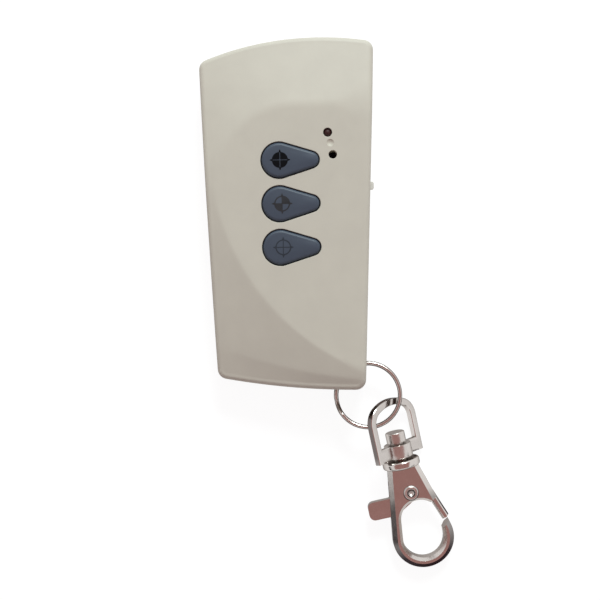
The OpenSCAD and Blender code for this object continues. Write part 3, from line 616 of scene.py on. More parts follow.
SCREWS = [from_wall(s, y, SCREW_IN) for s, y in zip(SCREW_SIDE, SCREW_Y)]
RESTS = [from_wall(s, y, REST_IN) for s, y in zip(REST_SIDE, REST_Y)]


def knob_slot():
    """Straight slot in the right wall for the side knob."""
    low = KNOB_Y - KNOB_TRAVEL - KNOB_LEN / 2 - KNOB_SLOT
    high = KNOB_Y + KNOB_LEN / 2 + KNOB_SLOT
    left, right = side_x(KNOB_Y) - WALL - CUT_OVER, side_x(KNOB_Y) + 2 * CUT_OVER
    shape = np.array([[left, low], [right, low], [right, high], [left, high]])
    return prism("knob_slot", shape, KNOB_Z - KNOB_T / 2 - KNOB_SLOT, KNOB_Z + KNOB_T / 2 + KNOB_SLOT)


def front_case():
    """Front shell: its skin, the pocket's roof, three bosses and the sound port's tube, less all openings."""
    piece = front_skin()
    added = [pocket_block("pocket_roof", PART_Z, POCKET_TOP + POCKET_WALL)]
    for at in SCREWS:
        added.append(rod("boss", at, BOSS_R, BOARD_TOP, float(face_height(at)) - WALL / 2))
    port_top = float(face_height(PORT_AT)) - WALL / 2
    added.append(rod("port_tube", PORT_AT, PORT_R + PORT_WALL, BUZZER_TOP + SLIP, port_top))
    cut = [prism("pocket", pocket_outline(), POCKET_LOW, POCKET_TOP), knob_slot(), dimple_ball()]
    for i in (-1, 0, 1):
        cut.append(flared("key_opening", lambda d, i=i: teardrop(i, d), KEY_FLARE))
    for at, radius in ((LED_AT, LED_HOLE_R), (PORT_AT, PORT_R)):
        cut.append(flared("round_opening", round_shape(at, radius), ROUND_FLARE))
    cut += [rod("pilot", at, SCREW_PILOT_R, BOARD_TOP - CUT_OVER, SCREW_SEAT + SCREW_REACH) for at in SCREWS]
    cut.append(rod("port_way", PORT_AT, PORT_R, BOARD_TOP, UNDER_Z, ROUND_N))
    combine(piece, added, "UNION")
    combine(piece, cut, "DIFFERENCE")
    shade(piece, 28)
    return piece


def rear_case():
    """Rear shell: its skin, the pocket's floor, bosses and board rests, less the pocket and screw holes."""
    piece = rear_skin()
    added = [rod("boss", at, BOSS_R, FLOOR_T / 2, BOARD_Z) for at in SCREWS]
    added += [rod("rest", at, REST_R, FLOOR_T / 2, BOARD_Z) for at in RESTS]
    room_r = POCKET_R + POCKET_WALL + SLIP
    combine(piece, [rod("tongue_room", POST_C, room_r, PART_Z, PART_Z + TONGUE_ROOM, 96)], "DIFFERENCE")
    combine(piece, [pocket_block("pocket_floor", FLOOR_T / 2, PART_Z)] + added, "UNION")
    cut = [prism("pocket", pocket_outline(), POCKET_LOW, POCKET_TOP)]
    cut += [rod("screw_way", at, SCREW_HOLE_R, -CUT_OVER, BOARD_Z + CUT_OVER) for at in SCREWS]
    cut += [rod("screw_seat", at, SCREW_SEAT_R, -CUT_OVER, SCREW_SEAT) for at in SCREWS]
    combine(piece, cut, "DIFFERENCE")
    shade(piece, 28)
    return piece


# Keys and their printed signs


def key_top(i):
    """Height of a key's top: that of its CAD node."""
    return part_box(f"key_{KEYS[i]}")[1][2] / MM


def key_height(i, p):
    """Crowned top of a key: highest over the line between its centres, falling with the distance squared."""
    off = p - key_centre(i)
    along = np.clip(off[..., 0], 0, KEY_REACH)
    away = np.hypot(off[..., 0] - along, off[..., 1])
    half = KEY_BIG_R + (KEY_SMALL_R - KEY_BIG_R) * along / KEY_REACH - KEY_GAP - KEY_EDGE_R
    return key_top(i) - KEY_CROWN * np.clip(away / half, 0, 1) ** 2


def key_cap(i, name):
    """Key: foot on the plunger, lip under the face, wall, rounded edge and crowned top."""
    foot = key_disc(i, KEY_FOOT_R)
    lip = teardrop(i, -KEY_LIP)
    wall = teardrop(i, KEY_GAP)
    lip_low = KEY_LIP_TOP - KEY_LIP_T
    under = [at_height(foot, KEY_FOOT_Z), at_height(foot, lip_low), at_height(lip, lip_low)]
    side = [at_height(lip, KEY_LIP_TOP), at_height(wall, KEY_LIP_TOP)]
    edge = teardrop(i, KEY_GAP + KEY_EDGE_R)
    edge_z = key_height(i, edge)
    drawn_in, dropped = KEY_EDGE_R * (1 - np.cos(QUARTER)), KEY_EDGE_R * (1 - np.sin(QUARTER))
    rounded = [at_height(teardrop(i, KEY_GAP + d), edge_z - h) for d, h in zip(drawn_in, dropped)]
    t = np.linspace(0, 1, 10)[1:, None, None]
    p = edge[None] * (1 - t) + key_middle(i)[None] * t
    top = np.concatenate([p, key_height(i, p)[..., None]], axis=-1)
    rows = np.concatenate([under, side, rounded, top])
    faces = grid_faces(len(rows), rows.shape[1])
    faces.append(list(range(rows.shape[1])))
    piece = tidy_object(name, rows.reshape(-1, 3), faces)
    shade(piece, 40)
    return piece


def sign_middle(i):
    """Middle of a key's sign, printed a little to the right of the middle of its big end."""
    return key_centre(i) + [SIGN_SHIFT[i], 0]


def sign_patch(i, inner, outer, start, end, shift=(0.0, 0.0)):
    """Part of a ring about a key's big end, laid on the key's top: radius by turn on an open grid."""
    turn = np.linspace(start, end, max(3, int((end - start) / SIGN_STEP)))
    radius = np.linspace(inner, outer, 6)[:, None]
    c1 = sign_middle(i) + shift
    p = np.stack([c1[0] + radius * np.cos(turn), c1[1] + radius * np.sin(turn)], axis=-1)
    return p, key_height(i, p) + INK


def sign_bar(i, start, end, wide_start, wide_end):
    """Straight bar or pointed tick: a four-sided patch between two places about a key's big end."""
    start, end = np.array(start, float), np.array(end, float)
    run = (end - start) / np.linalg.norm(end - start)
    across = np.array([-run[1], run[0]])
    t = np.linspace(0, 1, 6)[:, None, None]
    s = np.linspace(-0.5, 0.5, 3)[None, :, None]
    wide = wide_start * (1 - t) + wide_end * t
    p = sign_middle(i) + start * (1 - t) + end * t + s * wide * across
    return p, key_height(i, p) + INK


def sign_piece(name, patches):
    """One thin print from several patches."""
    points, faces, base = [], [], 0
    for p, z in patches:
        rows, columns = z.shape
        points.append(np.concatenate([p, z[..., None]], axis=-1).reshape(-1, 3))
        faces += [[base + k for k in quad] for quad in sheet_faces(rows, columns)]
        base += rows * columns
    piece = tidy_object(name, np.concatenate(points), faces)
    solid = piece.modifiers.new("ink", "SOLIDIFY")
    solid.thickness = 2 * INK * MM
    solid.offset = -1
    bpy.context.view_layer.update()
    apply_modifiers(piece)
    return piece


def ticks(i):
    """Four pointed ticks on the ring, to the right, up, left and down."""
    ways = [np.array([math.cos(a), math.sin(a)]) for a, _ in QUARTERS]
    root = SIGN_R - SIGN_TICK_SUNK
    return [sign_bar(i, w * root, w * SIGN_TICK, SIGN_TICK_ROOT, SIGN_TICK_TIP) for w in ways]


def quadrant(i, k):
    """Filled quarter of the disc, moved out from the middle so that a thin cross stays bare."""
    middle = (k + 0.5) * math.pi / 2
    shift = SIGN_INSET * math.sqrt(2) * np.array([math.cos(middle), math.sin(middle)])
    return sign_patch(i, SIGN_CORE_R, SIGN_R - SIGN_INSET, *QUARTERS[k], shift)


def whole_ring(i):
    """Printed ring, in four quarters."""
    return [sign_patch(i, SIGN_R - SIGN_LINE, SIGN_R, *quarter) for quarter in QUARTERS]


def cross(i):
    """Two thin bars across the ring."""
    reach = SIGN_R - SIGN_LINE / 2
    ways = np.array([[reach, 0], [0, reach]])
    return [sign_bar(i, -way, way, SIGN_CROSS, SIGN_CROSS) for way in ways]


# Split ring and clasp


def turn_z(a):
    """Turn by an angle about Z."""
    return np.array([[math.cos(a), -math.sin(a), 0], [math.sin(a), math.cos(a), 0], [0, 0, 1]])


def turn_y(a):
    """Turn by an angle about Y."""
    return np.array([[math.cos(a), 0, math.sin(a)], [0, 1, 0], [-math.sin(a), 0, math.cos(a)]])


def turn_x(a):
    """Turn by an angle about X."""
    return np.array([[1, 0, 0], [0, math.cos(a), -math.sin(a)], [0, math.sin(a), math.cos(a)]])


def split_ring():
    """Two flat turns with one eased step between them, the wire's end faces drawn in to a small round."""
    r = (RING_D - RING_WIRE) / 2
    angle = np.linspace(RING_STEP, 4 * math.pi - RING_STEP, RING_N)
    z = RING_PITCH * (eased(angle, 2 * math.pi - RING_STEP, 2 * math.pi + RING_STEP) - 0.5)
    end = np.minimum(np.arange(RING_N), np.arange(RING_N)[::-1])
    drawn = np.clip((RING_END_N - end) / RING_END_SPAN, 0, 1)
    around = np.linspace(0, 2 * math.pi, WIRE_N + 1)[:-1]
    wire = RING_WIRE / 2 * np.sqrt(1 - drawn**2)[:, None]
    q = r + wire * np.cos(around)
    x, y = q * np.cos(angle)[:, None], q * np.sin(angle)[:, None]
    local = np.stack([x, y, z[:, None] + wire * np.sin(around)], axis=-1)
    reach = RING_D / 2 - RING_WIRE - POST_R - SLIP - RING_HALF * math.sin(RING_RISE)
    hung = local @ turn_z(RING_SPLIT).T + [reach, 0, 0]
    place = turn_z(RING_HEADING) @ turn_y(-RING_RISE)
    piece = closed_mesh("key_ring", hung @ place.T + [POST_C[0], POST_C[1], RING_Z])
    shade(piece, 50)
    return piece


CLASP_TURN = turn_z(CLASP_HEADING) @ turn_x(CLASP_TILT)
RIVET_AT = ((np.array(JOINTS["gate_open"]["pos_m"]) / MM - CLASP_AT) @ CLASP_TURN)[:2]


def in_clasp(points, roll=0.0):
    """Clasp axes to the case's frame: local Y is the swivel axis to the ring, local Z is out of the hook."""
    return np.asarray(points) @ (CLASP_TURN @ turn_y(roll)).T + CLASP_AT


def squared(width, height, count=40, power=10):
    """Square bar section with rounded edges: a superellipse."""
    a = np.linspace(0, 2 * math.pi, count + 1)[:-1] + math.pi / count
    c, s = np.cos(a), np.sin(a)
    r = (np.abs(c) ** power + np.abs(s) ** power) ** (-1 / power)
    return np.stack([width / 2 * r * c, height / 2 * r * s], axis=-1)


def turned(name, profile, roll=0.0, count=96):
    """Profile of (radius, distance along the swivel axis) turned about that axis."""
    profile = np.asarray(profile, float)
    a = np.linspace(0, 2 * math.pi, count + 1)[:-1]
    x = profile[:, :1] * np.cos(a)
    z = profile[:, :1] * np.sin(a)
    y = np.repeat(profile[:, 1:], count, axis=1)
    return closed_mesh(name, in_clasp(np.stack([x, y, z], axis=-1), roll))


def swivel_eye():
    """Square bar bent to an arch on two legs, with a foot bar and a bored collar on the swivel axis."""
    half = (EYE_W - EYE_BAR) / 2
    spread = math.asin((half - SHOULDER_R) / (ARCH_R - SHOULDER_R))
    arch_y = EYE_TOP + EYE_BAR / 2 - ARCH_R
    shoulder_y = arch_y + (ARCH_R - SHOULDER_R) * math.cos(spread)
    right = arc([half - SHOULDER_R, shoulder_y], SHOULDER_R, 0, math.pi / 2 - spread, 20)
    crown = arc([0, arch_y], ARCH_R, math.pi / 2 - spread, math.pi / 2 + spread, 32)[1:-1]
    left = (right * [-1, 1])[::-1]
    leg = np.array([[half, COLLAR_Y], [half, COLLAR_Y + EYE_LEG]])
    path = np.concatenate([leg, right, crown, left, (leg * [-1, 1])[::-1]])
    run = np.gradient(path, axis=0)
    run /= np.linalg.norm(run, axis=1, keepdims=True)
    run[[0, 1, -2, -1]] = [[0, 1], [0, 1], [0, -1], [0, -1]]
    out = np.stack([run[:, 1], -run[:, 0]], axis=-1)
    section = squared(EYE_BAR, EYE_BAR)
    flat = path[:, None, :] + section[None, :, :1] * out[:, None, :]
    depth = np.broadcast_to(section[None, :, 1:], flat.shape[:2] + (1,))
    piece = closed_mesh("swivel_loop", in_clasp(np.concatenate([flat, depth], axis=-1), EYE_ROLL))
    bar = squared(COLLAR_LEN, EYE_BAR)
    along = COLLAR_Y + COLLAR_LEN / 2 + bar[:, 0]
    foot = [np.column_stack([np.full(len(bar), x), along, bar[:, 1]]) for x in (-half, half)]
    foot = closed_mesh("foot_bar", in_clasp(foot, EYE_ROLL))
    top = COLLAR_Y + COLLAR_LEN
    edge = np.array([[COLLAR_SOFT, 0], [0.04, 0.05], [0, COLLAR_SOFT]])
    lower = [COLLAR_R, COLLAR_Y] + edge * [-1, 1]
    upper = ([COLLAR_R, top] - edge)[::-1]
    collar = turned("collar", [[AXIS_R, COLLAR_Y], *lower, *upper, [AXIS_R, top]], EYE_ROLL)
    combine(piece, [foot, collar], "UNION")
    combine(piece, [turned("bore", [[SWIVEL_BORE_R, 0], [SWIVEL_BORE_R, top + 2]])], "DIFFERENCE")
    shade(piece, 35)
    return piece


def rivet():
    """Hollow rivet through the hook: shank, two heads with a rolled edge and a dished bright middle."""
    half = HOOK_T / 2
    rim, hollow = RIVET_HEAD_R, RIVET_HOLLOW_R
    head = np.array([
        [RIVET_R, -0.02], [rim - 0.03, 0], [rim, 0.03], [rim - 0.22, 0.29], [rim - 0.33, 0.35],
        [hollow + 0.38, 0.37], [hollow + 0.15, 0.3], [hollow, 0.04], [hollow - 0.03, 0],
        [hollow * 0.5, -0.22], [AXIS_R, -0.44],
    ]) + [0, half]
    profile = np.concatenate([(head * [1, -1])[::-1], head])
    a = np.linspace(0, 2 * math.pi, RIVET_N + 1)[:-1]
    x = RIVET_AT[0] + profile[:, :1] * np.cos(a)
    y = RIVET_AT[1] + profile[:, :1] * np.sin(a)
    z = np.repeat(profile[:, 1:], RIVET_N, axis=1)
    piece = closed_mesh("gate_pin", in_clasp(np.stack([x, y, z], axis=-1)))
    shade(piece, 40)
    return piece


# Finishes


def node(tree, kind, **values):
    """Adds a shader node and sets its attributes and unlinked inputs."""
    made = tree.nodes.new(kind)
    for name, value in values.items():
        if hasattr(made, name):
            setattr(made, name, value)
        else:
            made.inputs[name.replace("_", " ")].default_value = value
    return made


def empty_finish(name):
    """Material with one shader, and the Object coordinates that its patterns read."""
    material = bpy.data.materials.new(name)
    material.use_nodes = True
    tree = material.node_tree
    tree.nodes.clear()
    shader = tree.nodes.new("ShaderNodeBsdfPrincipled")
    out = tree.nodes.new("ShaderNodeOutputMaterial")
    tree.links.new(shader.outputs["BSDF"], out.inputs["Surface"])
    place = tree.nodes.new("ShaderNodeTexCoord")
    return material, tree, shader, place.outputs["Object"]


def mottled(tree, place, scale, dark, light):
    """Colour that drifts between two close tones over a noise of the given scale, in cells per metre."""
    noise = node(tree, "ShaderNodeTexNoise", Scale=scale, Detail=4.0, Roughness=0.55)
    tones = tree.nodes.new("ShaderNodeValToRGB")
    tones.color_ramp.elements[0].position = 0.3
    tones.color_ramp.elements[1].position = 0.7
    tones.color_ramp.elements[0].color = (*dark, 1)
    tones.color_ramp.elements[1].color = (*light, 1)
    tree.links.new(place, noise.inputs["Vector"])
    tree.links.new(noise.outputs["Fac"], tones.inputs["Fac"])
    return tones.outputs["Color"]


def spread_roughness(tree, place, shader, scale, low, high):
    """Roughness that wanders between two values."""
    noise = node(tree, "ShaderNodeTexNoise", Scale=scale, Detail=3.0)
    span = node(tree, "ShaderNodeMapRange", To_Min=low, To_Max=high)
    tree.links.new(place, noise.inputs["Vector"])
    tree.links.new(noise.outputs["Fac"], span.inputs["Value"])
    tree.links.new(span.outputs["Result"], shader.inputs["Roughness"])
    return span.outputs["Result"]


def grained(tree, place, shader, scale, strength, depth):
    """Fine raised grain, scale in cells per metre and depth in metres."""
    noise = node(tree, "ShaderNodeTexNoise", Scale=scale, Detail=2.0, Roughness=0.5)
    bump = node(tree, "ShaderNodeBump", Strength=strength, Distance=depth)
    tree.links.new(place, noise.inputs["Vector"])
    tree.links.new(noise.outputs["Fac"], bump.inputs["Height"])
    tree.links.new(bump.outputs["Normal"], shader.inputs["Normal"])


# Patterns of plastic and plate, in cells per metre
MOULD_TONE, MOULD_GLOSS, MOULD_GRAIN = 180, 900, 5200
PLATE_TONE, PLATE_GLOSS, PLATE_SCRATCH = 260, 700, 6000


def moulding(name, dark, light, rough, grain_depth, level=0.4):
    """Satin moulded plastic: faint mottle, wandering gloss and spark-eroded grain."""
    material, tree, shader, place = empty_finish(name)
    tree.links.new(mottled(tree, place, MOULD_TONE, dark, light), shader.inputs["Base Color"])
    spread_roughness(tree, place, shader, MOULD_GLOSS, rough - 0.06, rough + 0.06)
    grained(tree, place, shader, MOULD_GRAIN, 0.35, grain_depth)
    shader.inputs["Specular IOR Level"].default_value = level
    return material


def near(tree, place, middle, radius):
    """Mask that is 1 within a radius of a point and fades out over the next half millimetre."""
    away = node(tree, "ShaderNodeVectorMath", operation="DISTANCE")
    inside = node(tree, "ShaderNodeMapRange", From_Min=radius + 0.5 * MM, From_Max=radius)
    away.inputs[1].default_value = tuple(middle)
    tree.links.new(place, away.inputs[0])
    tree.links.new(away.outputs["Value"], inside.inputs["Value"])
    return inside.outputs["Result"]


def greater(tree, a, b):
    """The greater of two masks."""
    either = node(tree, "ShaderNodeMath", operation="MAXIMUM")
    tree.links.new(a, either.inputs[0])
    tree.links.new(b, either.inputs[1])
    return either.outputs[0]


# Ranges from painted flank shade to plain plate colour: upright part of the normal, then metres towards and
# away from the point that is left unshaded
STEEP = {"From_Min": 0.66, "From_Max": 0.8}
FACING_UNSHADED = {"From_Min": 0.001, "From_Max": -0.001}
FAR_UNSHADED = {"From_Min": 0.008, "From_Max": 0.0115}
SCUFFED_ROUGH = 0.29


def flank_shaded(tree, place, colour, flank_shade, unshaded_at, turning):
    """Painted shade: darkens a plate's colour on its steep flanks. The mask is the upright part of the
    surface's own normal.
    Flanks that face the given point, and all that lies far from it, are left without the painted shade, and
    so is what the mask turning covers."""
    normal = tree.nodes.new("ShaderNodeTexCoord").outputs["Normal"]
    parts = tree.nodes.new("ShaderNodeSeparateXYZ")
    upright = node(tree, "ShaderNodeMath", operation="ABSOLUTE")
    bright = node(tree, "ShaderNodeMapRange", **STEEP)
    mix = node(tree, "ShaderNodeMix", data_type="RGBA")
    tree.links.new(normal, parts.inputs[0])
    tree.links.new(parts.outputs["Z"], upright.inputs[0])
    tree.links.new(upright.outputs[0], bright.inputs["Value"])
    kept = bright.outputs["Result"]
    if unshaded_at is not None:
        away = node(tree, "ShaderNodeVectorMath", operation="SUBTRACT")
        facing = node(tree, "ShaderNodeVectorMath", operation="DOT_PRODUCT")
        facing_unshaded = node(tree, "ShaderNodeMapRange", **FACING_UNSHADED)
        far = node(tree, "ShaderNodeVectorMath", operation="LENGTH")
        far_unshaded = node(tree, "ShaderNodeMapRange", **FAR_UNSHADED)
        away.inputs[1].default_value = tuple(unshaded_at)
        tree.links.new(place, away.inputs[0])
        tree.links.new(away.outputs["Vector"], facing.inputs[0])
        tree.links.new(normal, facing.inputs[1])
        tree.links.new(facing.outputs["Value"], facing_unshaded.inputs["Value"])
        tree.links.new(away.outputs["Vector"], far.inputs[0])
        tree.links.new(far.outputs["Value"], far_unshaded.inputs["Value"])
        kept = greater(tree, greater(tree, kept, facing_unshaded.outputs["Result"]), far_unshaded.outputs["Result"])
    if turning is not None:
        kept = greater(tree, kept, turning)
    tree.links.new(kept, mix.inputs[0])
    mix.inputs[6].default_value = (*flank_shade, 1)
    tree.links.new(colour, mix.inputs[7])
    return mix.outputs[2]


def plated(name, dark, light, rough, scratch_depth, flank_shade, unshaded_at=None, swivel=None):
    """Bright plate on metal: nearly even tone, painted shade on its steep flanks, wandering gloss and fine
    handling scratches.
    swivel gives the middle and radius of the part that is scuffed by turning, which is left without the
    painted shade and is rougher."""
    material, tree, shader, place = empty_finish(name)
    shader.inputs["Metallic"].default_value = 1.0
    shader.inputs["Specular Tint"].default_value = (0.3, 0.28, 0.27, 1)
    tone = mottled(tree, place, PLATE_TONE, dark, light)
    turning = None if swivel is None else near(tree, place, *swivel)
    # Painted shade on the steep flanks goes into the base colour
    tree.links.new(flank_shaded(tree, place, tone, flank_shade, unshaded_at, turning), shader.inputs["Base Color"])
    gloss = spread_roughness(tree, place, shader, PLATE_GLOSS, rough - 0.04, rough + 0.05)
    if turning is not None:
        scuffed = node(tree, "ShaderNodeMix", data_type="FLOAT")
        tree.links.new(turning, scuffed.inputs[0])
        tree.links.new(gloss, scuffed.inputs[2])
        scuffed.inputs[3].default_value = SCUFFED_ROUGH
        tree.links.new(scuffed.outputs[0], shader.inputs["Roughness"])
    stretch = tree.nodes.new("ShaderNodeMapping")
    stretch.inputs["Scale"].default_value = (1.0, 0.08, 1.0)
    stretch.inputs["Rotation"].default_value = (0.2, 0.1, 0.5)
    tree.links.new(place, stretch.inputs["Vector"])
    grained(tree, stretch.outputs["Vector"], shader, PLATE_SCRATCH, 0.2, scratch_depth)
    return material


ivory = moulding("ivory_moulding", (0.555, 0.525, 0.45), (0.58, 0.55, 0.47), 0.5, 3e-6, 0.3)
key_blue = moulding("key_moulding", (0.042, 0.06, 0.088), (0.048, 0.067, 0.097), 0.48, 2e-6, 0.45)
INKS = {
    1: moulding("fresh_ink", (0.003, 0.0034, 0.0046), (0.006, 0.0064, 0.008), 0.7, 1e-6, 0.05),
    0: moulding("worn_ink", (0.014, 0.016, 0.019), (0.032, 0.034, 0.04), 0.55, 1e-6, 0.3),
    -1: moulding("faint_ink", (0.018, 0.026, 0.037), (0.028, 0.038, 0.052), 0.5, 1e-6, 0.3),
}
plunger_white = moulding("plunger_moulding", (0.72, 0.69, 0.63), (0.76, 0.73, 0.67), 0.5, 1e-6)
black_plastic = moulding("black_moulding", (0.012, 0.012, 0.013), (0.018, 0.018, 0.02), 0.5, 2e-6)
knob_white = moulding("knob_moulding", (0.66, 0.64, 0.58), (0.7, 0.68, 0.62), 0.45, 2e-6)
board_green = moulding("board_lacquer", (0.012, 0.075, 0.026), (0.02, 0.1, 0.036), 0.3, 2e-6, 0.5)
led_red = moulding("lens_epoxy", (0.03, 0.008, 0.008), (0.042, 0.011, 0.011), 0.5, 5e-7, 0.3)
# The last colour of each plate is the painted shade on its steep flanks
steel = plated("plated_steel", (0.5, 0.5, 0.5), (0.58, 0.58, 0.57), 0.3, 6e-7, (0.4, 0.39, 0.38))
brass = plated("bare_brass", (0.55, 0.38, 0.14), (0.62, 0.44, 0.18), 0.3, 6e-7, (0.4, 0.26, 0.1))
ring_nickel = plated("ring_nickel", (0.54, 0.49, 0.46), (0.6, 0.55, 0.52), 0.24, 1e-7, (0.12, 0.095, 0.085))
NICKEL_TONES = (0.6, 0.56, 0.53), (0.66, 0.62, 0.59)
# Painted shade colours for the steep flanks of the clasp's plate
HOOK_FLANK_SHADE = (0.045, 0.036, 0.039)
EYE_FLANK_SHADE = (0.18, 0.155, 0.148)


def on_swivel(distance):
    """Point on the swivel's line, a distance from its joint towards the ring, in metres."""
    return (CLASP_AT + SWIVEL_LINE * distance) * MM


# Places of the clasp left without the painted flank shade: the middle of what hook and eye hold, and a middle
# and radius where they turn, which is also rougher
throat = next(m["pos_m"] for m in frame["record"]["mounts"] if m["name"] == "clasp_hook")
post_head = on_swivel(6.2), 2.7 * MM
hook_nickel = plated("hook_nickel", *NICKEL_TONES, 0.16, 2e-7, HOOK_FLANK_SHADE, throat, post_head)
loop_middle = on_swivel(7.5)
collar_round = on_swivel(2.9), 3.6 * MM
eye_nickel = plated("eye_nickel", *NICKEL_TONES, 0.16, 2e-7, EYE_FLANK_SHADE, loop_middle, collar_round)
rivet_nickel = plated("rivet_nickel", *NICKEL_TONES, 0.34, 2e-7, HOOK_FLANK_SHADE)

# Pieces on the case

dress(front_case(), ivory, "fob", "ivory_case", "front_shell")
dress(rear_case(), ivory, "fob", "ivory_case", "rear_shell")
for index, use in KEYS.items():
    dress(key_cap(index, f"{use}_cap"), key_blue, f"{use}_key", "key_blue", f"key_{use}")
signs = {
    1: [quadrant(1, k) for k in range(4)] + ticks(1),
    0: whole_ring(0) + [quadrant(0, k) for k in (0, 2)] + cross(0) + ticks(0),
    -1: whole_ring(-1) + cross(-1) + ticks(-1),
}
for index, use in KEYS.items():
    dress(sign_piece(f"{use}_sign", signs[index]), INKS[index], f"{use}_key", "key_blue")
nub = softened("side_switch_knob", "side_nub", 0.12)
dress(nub, knob_white, "side_knob", "knob_white", "side_switch_knob")
dress(softened("case_screws", "back_screws", 0.1), steel, "fob", "screw_steel", "case_screws")

# Ring and clasp

dress(split_ring(), ring_nickel, "ring", "ring_nickel", "split_ring")
dress(swivel_eye(), eye_nickel, "eye", "clasp_nickel", "swivel_eye")
hook = softened("hook_body", "clasp_hook", 0.2, segments=4, merged=0.09)
dress(hook, hook_nickel, "hook", "clasp_nickel", "hook_body")
dress(softened("gate_lever", "clasp_gate", 0.18), hook_nickel, "gate", "clasp_nickel", "gate_lever")
dress(rivet(), rivet_nickel, "hook", "clasp_nickel", "gate_rivet")

# Finish of each slot, for the CAD nodes that stay as they are inside the case
INSIDE = {
    "ivory_case": ivory, "key_blue": key_blue, "knob_white": knob_white, "switch_plunger": plunger_white,
    "black_moulding": black_plastic, "board_green": board_green, "led_red": led_red,
    "cell_steel": steel, "screw_steel": steel, "contact_brass": brass,
    "ring_nickel": ring_nickel, "clasp_nickel": hook_nickel,
}
for part in frame["record"]["subparts"]:
    shown = nodes[part["node"]].data
    shown.materials.clear()
    shown.materials.append(INSIDE[part["material_slot"]])

# Floor, light and camera

SQUARE = np.array([[-1, -1, 0], [1, -1, 0], [1, 1, 0], [-1, 1, 0]])
PAPER = (0.74, 0.74, 0.74), (0.76, 0.76, 0.76)
FLOOR_HALF = 900.0
FLOOR_DROP = 0.02


def shown_white(tree, lit, white, out):
    """Joins two shaders: camera, glossy and transmission rays meet the white one, other rays the lit one."""
    path = tree.nodes.new("ShaderNodeLightPath").outputs
    seen = greater(tree, path["Is Camera Ray"], path["Is Glossy Ray"])
    seen = greater(tree, seen, path["Is Transmission Ray"])
    mix = tree.nodes.new("ShaderNodeMixShader")
    tree.links.new(seen, mix.inputs["Fac"])
    tree.links.new(lit.outputs[0], mix.inputs[1])
    tree.links.new(white.outputs[0], mix.inputs[2])
    tree.links.new(mix.outputs[0], out.inputs["Surface"])


def studio_floor_finish():
    """White paper: as the camera sees it, mostly its own even white, so that only a faint shadow shows."""
    material, tree, paper, place = empty_finish("studio_floor")
    tree.links.new(mottled(tree, place, 20, *PAPER), paper.inputs["Base Color"])
    seen_paper = tree.nodes.new("ShaderNodeBsdfPrincipled")
    for shader in (paper, seen_paper):
        shader.inputs["Roughness"].default_value = 0.9
        shader.inputs["Specular IOR Level"].default_value = 0.0
    seen_paper.inputs["Base Color"].default_value = (0.16, 0.16, 0.16, 1)
    seen_paper.inputs["Emission Color"].default_value = (1, 1, 1, 1)
    seen_paper.inputs["Emission Strength"].default_value = 0.91
    shown_white(tree, paper, seen_paper, tree.nodes["Material Output"])
    return material


floor = tidy_object("studio_floor", SQUARE * FLOOR_HALF - [0, 0, FLOOR_DROP], [[0, 1, 2, 3]])
floor.data.materials.append(studio_floor_finish())

# Studio screens that only reflections show: a warm card above, which flat plate and key tops mirror, and a
# low dark screen on the near side, which draws the dark lines along rounded metal


def studio_screen(name, points, faces, dark, light):
    """Evenly glowing screen that the camera does not see and that gives the object no light or shadow."""
    screen = tidy_object(name, points, faces)
    material = bpy.data.materials.new(name)
    material.use_nodes = True
    tree = material.node_tree
    tree.nodes.clear()
    glow = node(tree, "ShaderNodeEmission", Strength=1.0)
    out = tree.nodes.new("ShaderNodeOutputMaterial")
    place = tree.nodes.new("ShaderNodeTexCoord").outputs["Object"]
    tree.links.new(mottled(tree, place, 8, dark, light), glow.inputs["Color"])
    tree.links.new(glow.outputs[0], out.inputs["Surface"])
    screen.data.materials.append(material)
    screen.visible_camera = False
    screen.visible_diffuse = False
    screen.visible_transmission = False
    screen.visible_shadow = False


CARD_HALF = 560.0
CARD_AT = (20, -40, 520.0)
CARD_TONES = (0.39, 0.212, 0.195), (0.46, 0.256, 0.238)
studio_screen("ceiling_card", SQUARE * CARD_HALF + CARD_AT, [[0, 1, 2, 3]], *CARD_TONES)
SCREEN_R = 800.0
SCREEN_HEIGHT = 200.0
SCREEN_FROM, SCREEN_TO = math.radians(202), math.radians(345)
SCREEN_N = 72
SCREEN_TONES = (0.05, 0.038, 0.035), (0.07, 0.053, 0.05)
screen_foot = arc([0, 0], SCREEN_R, SCREEN_FROM, SCREEN_TO, SCREEN_N)
screen_rows = np.concatenate([at_height(screen_foot, 0.0), at_height(screen_foot, SCREEN_HEIGHT)])
studio_screen("low_screen", screen_rows, sheet_faces(2, SCREEN_N), *SCREEN_TONES)

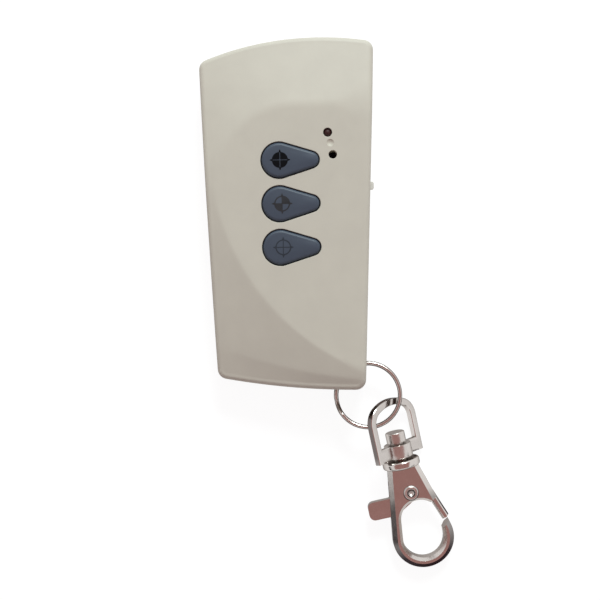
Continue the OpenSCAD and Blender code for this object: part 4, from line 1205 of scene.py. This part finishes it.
AMBIENT = 0.385
AMBIENT_COLOUR = (1.12, 0.936, 0.958, 1)
world = bpy.data.worlds.new("studio")
bpy.context.scene.world = world
world.use_nodes = True
sky = world.node_tree
sky.nodes.clear()
ambient = node(sky, "ShaderNodeBackground", Color=AMBIENT_COLOUR, Strength=AMBIENT)
backdrop = node(sky, "ShaderNodeBackground", Color=(1, 1, 1, 1), Strength=1.0)
shown_white(sky, ambient, backdrop, sky.nodes.new("ShaderNodeOutputWorld"))

# Soft round lamp near the top end, so that its light falls off towards the clasp
LAMP_DISTANCE = 700.0
LAMP_ELEVATION = math.radians(40)
LAMP_AZIMUTH = math.radians(80)
LAMP_LIGHT = 2.6
LAMP_SIZE = 280.0
LAMP_COLOUR = (0.906, 1.046, 1.047)
key_light = bpy.data.lights.new("key_light", "AREA")
key_light.shape = "DISK"
key_light.size = LAMP_SIZE * MM
key_light.energy = LAMP_LIGHT * math.pi * (LAMP_DISTANCE * MM) ** 2
key_light.color = LAMP_COLOUR
key_lamp = bpy.data.objects.new("key_light", key_light)
bpy.context.scene.collection.objects.link(key_lamp)
lamp_way = np.array([
    math.cos(LAMP_ELEVATION) * math.cos(LAMP_AZIMUTH),
    math.cos(LAMP_ELEVATION) * math.sin(LAMP_AZIMUTH),
    math.sin(LAMP_ELEVATION),
])
key_lamp.location = LAMP_DISTANCE * MM * lamp_way
key_lamp.rotation_euler = (math.pi / 2 - LAMP_ELEVATION, 0, LAMP_AZIMUTH + math.pi / 2)

# Camera straight above, turned as the photograph is
CAMERA_AT = np.array([2.12, -18.74, 313.7])
CAMERA_TURN = math.radians(-1.09)
CAMERA_LENS = 83.9
CAMERA_SENSOR = 36.0
camera_data = bpy.data.cameras.new("camera")
camera_data.lens = CAMERA_LENS
camera_data.sensor_width = CAMERA_SENSOR
camera_data.clip_start = 0.01
camera = bpy.data.objects.new("camera", camera_data)
bpy.context.scene.collection.objects.link(camera)
camera.location = CAMERA_AT * MM
camera.rotation_euler = (0, 0, CAMERA_TURN)
bpy.context.scene.camera = camera
bpy.context.scene.view_settings.view_transform = "Standard"
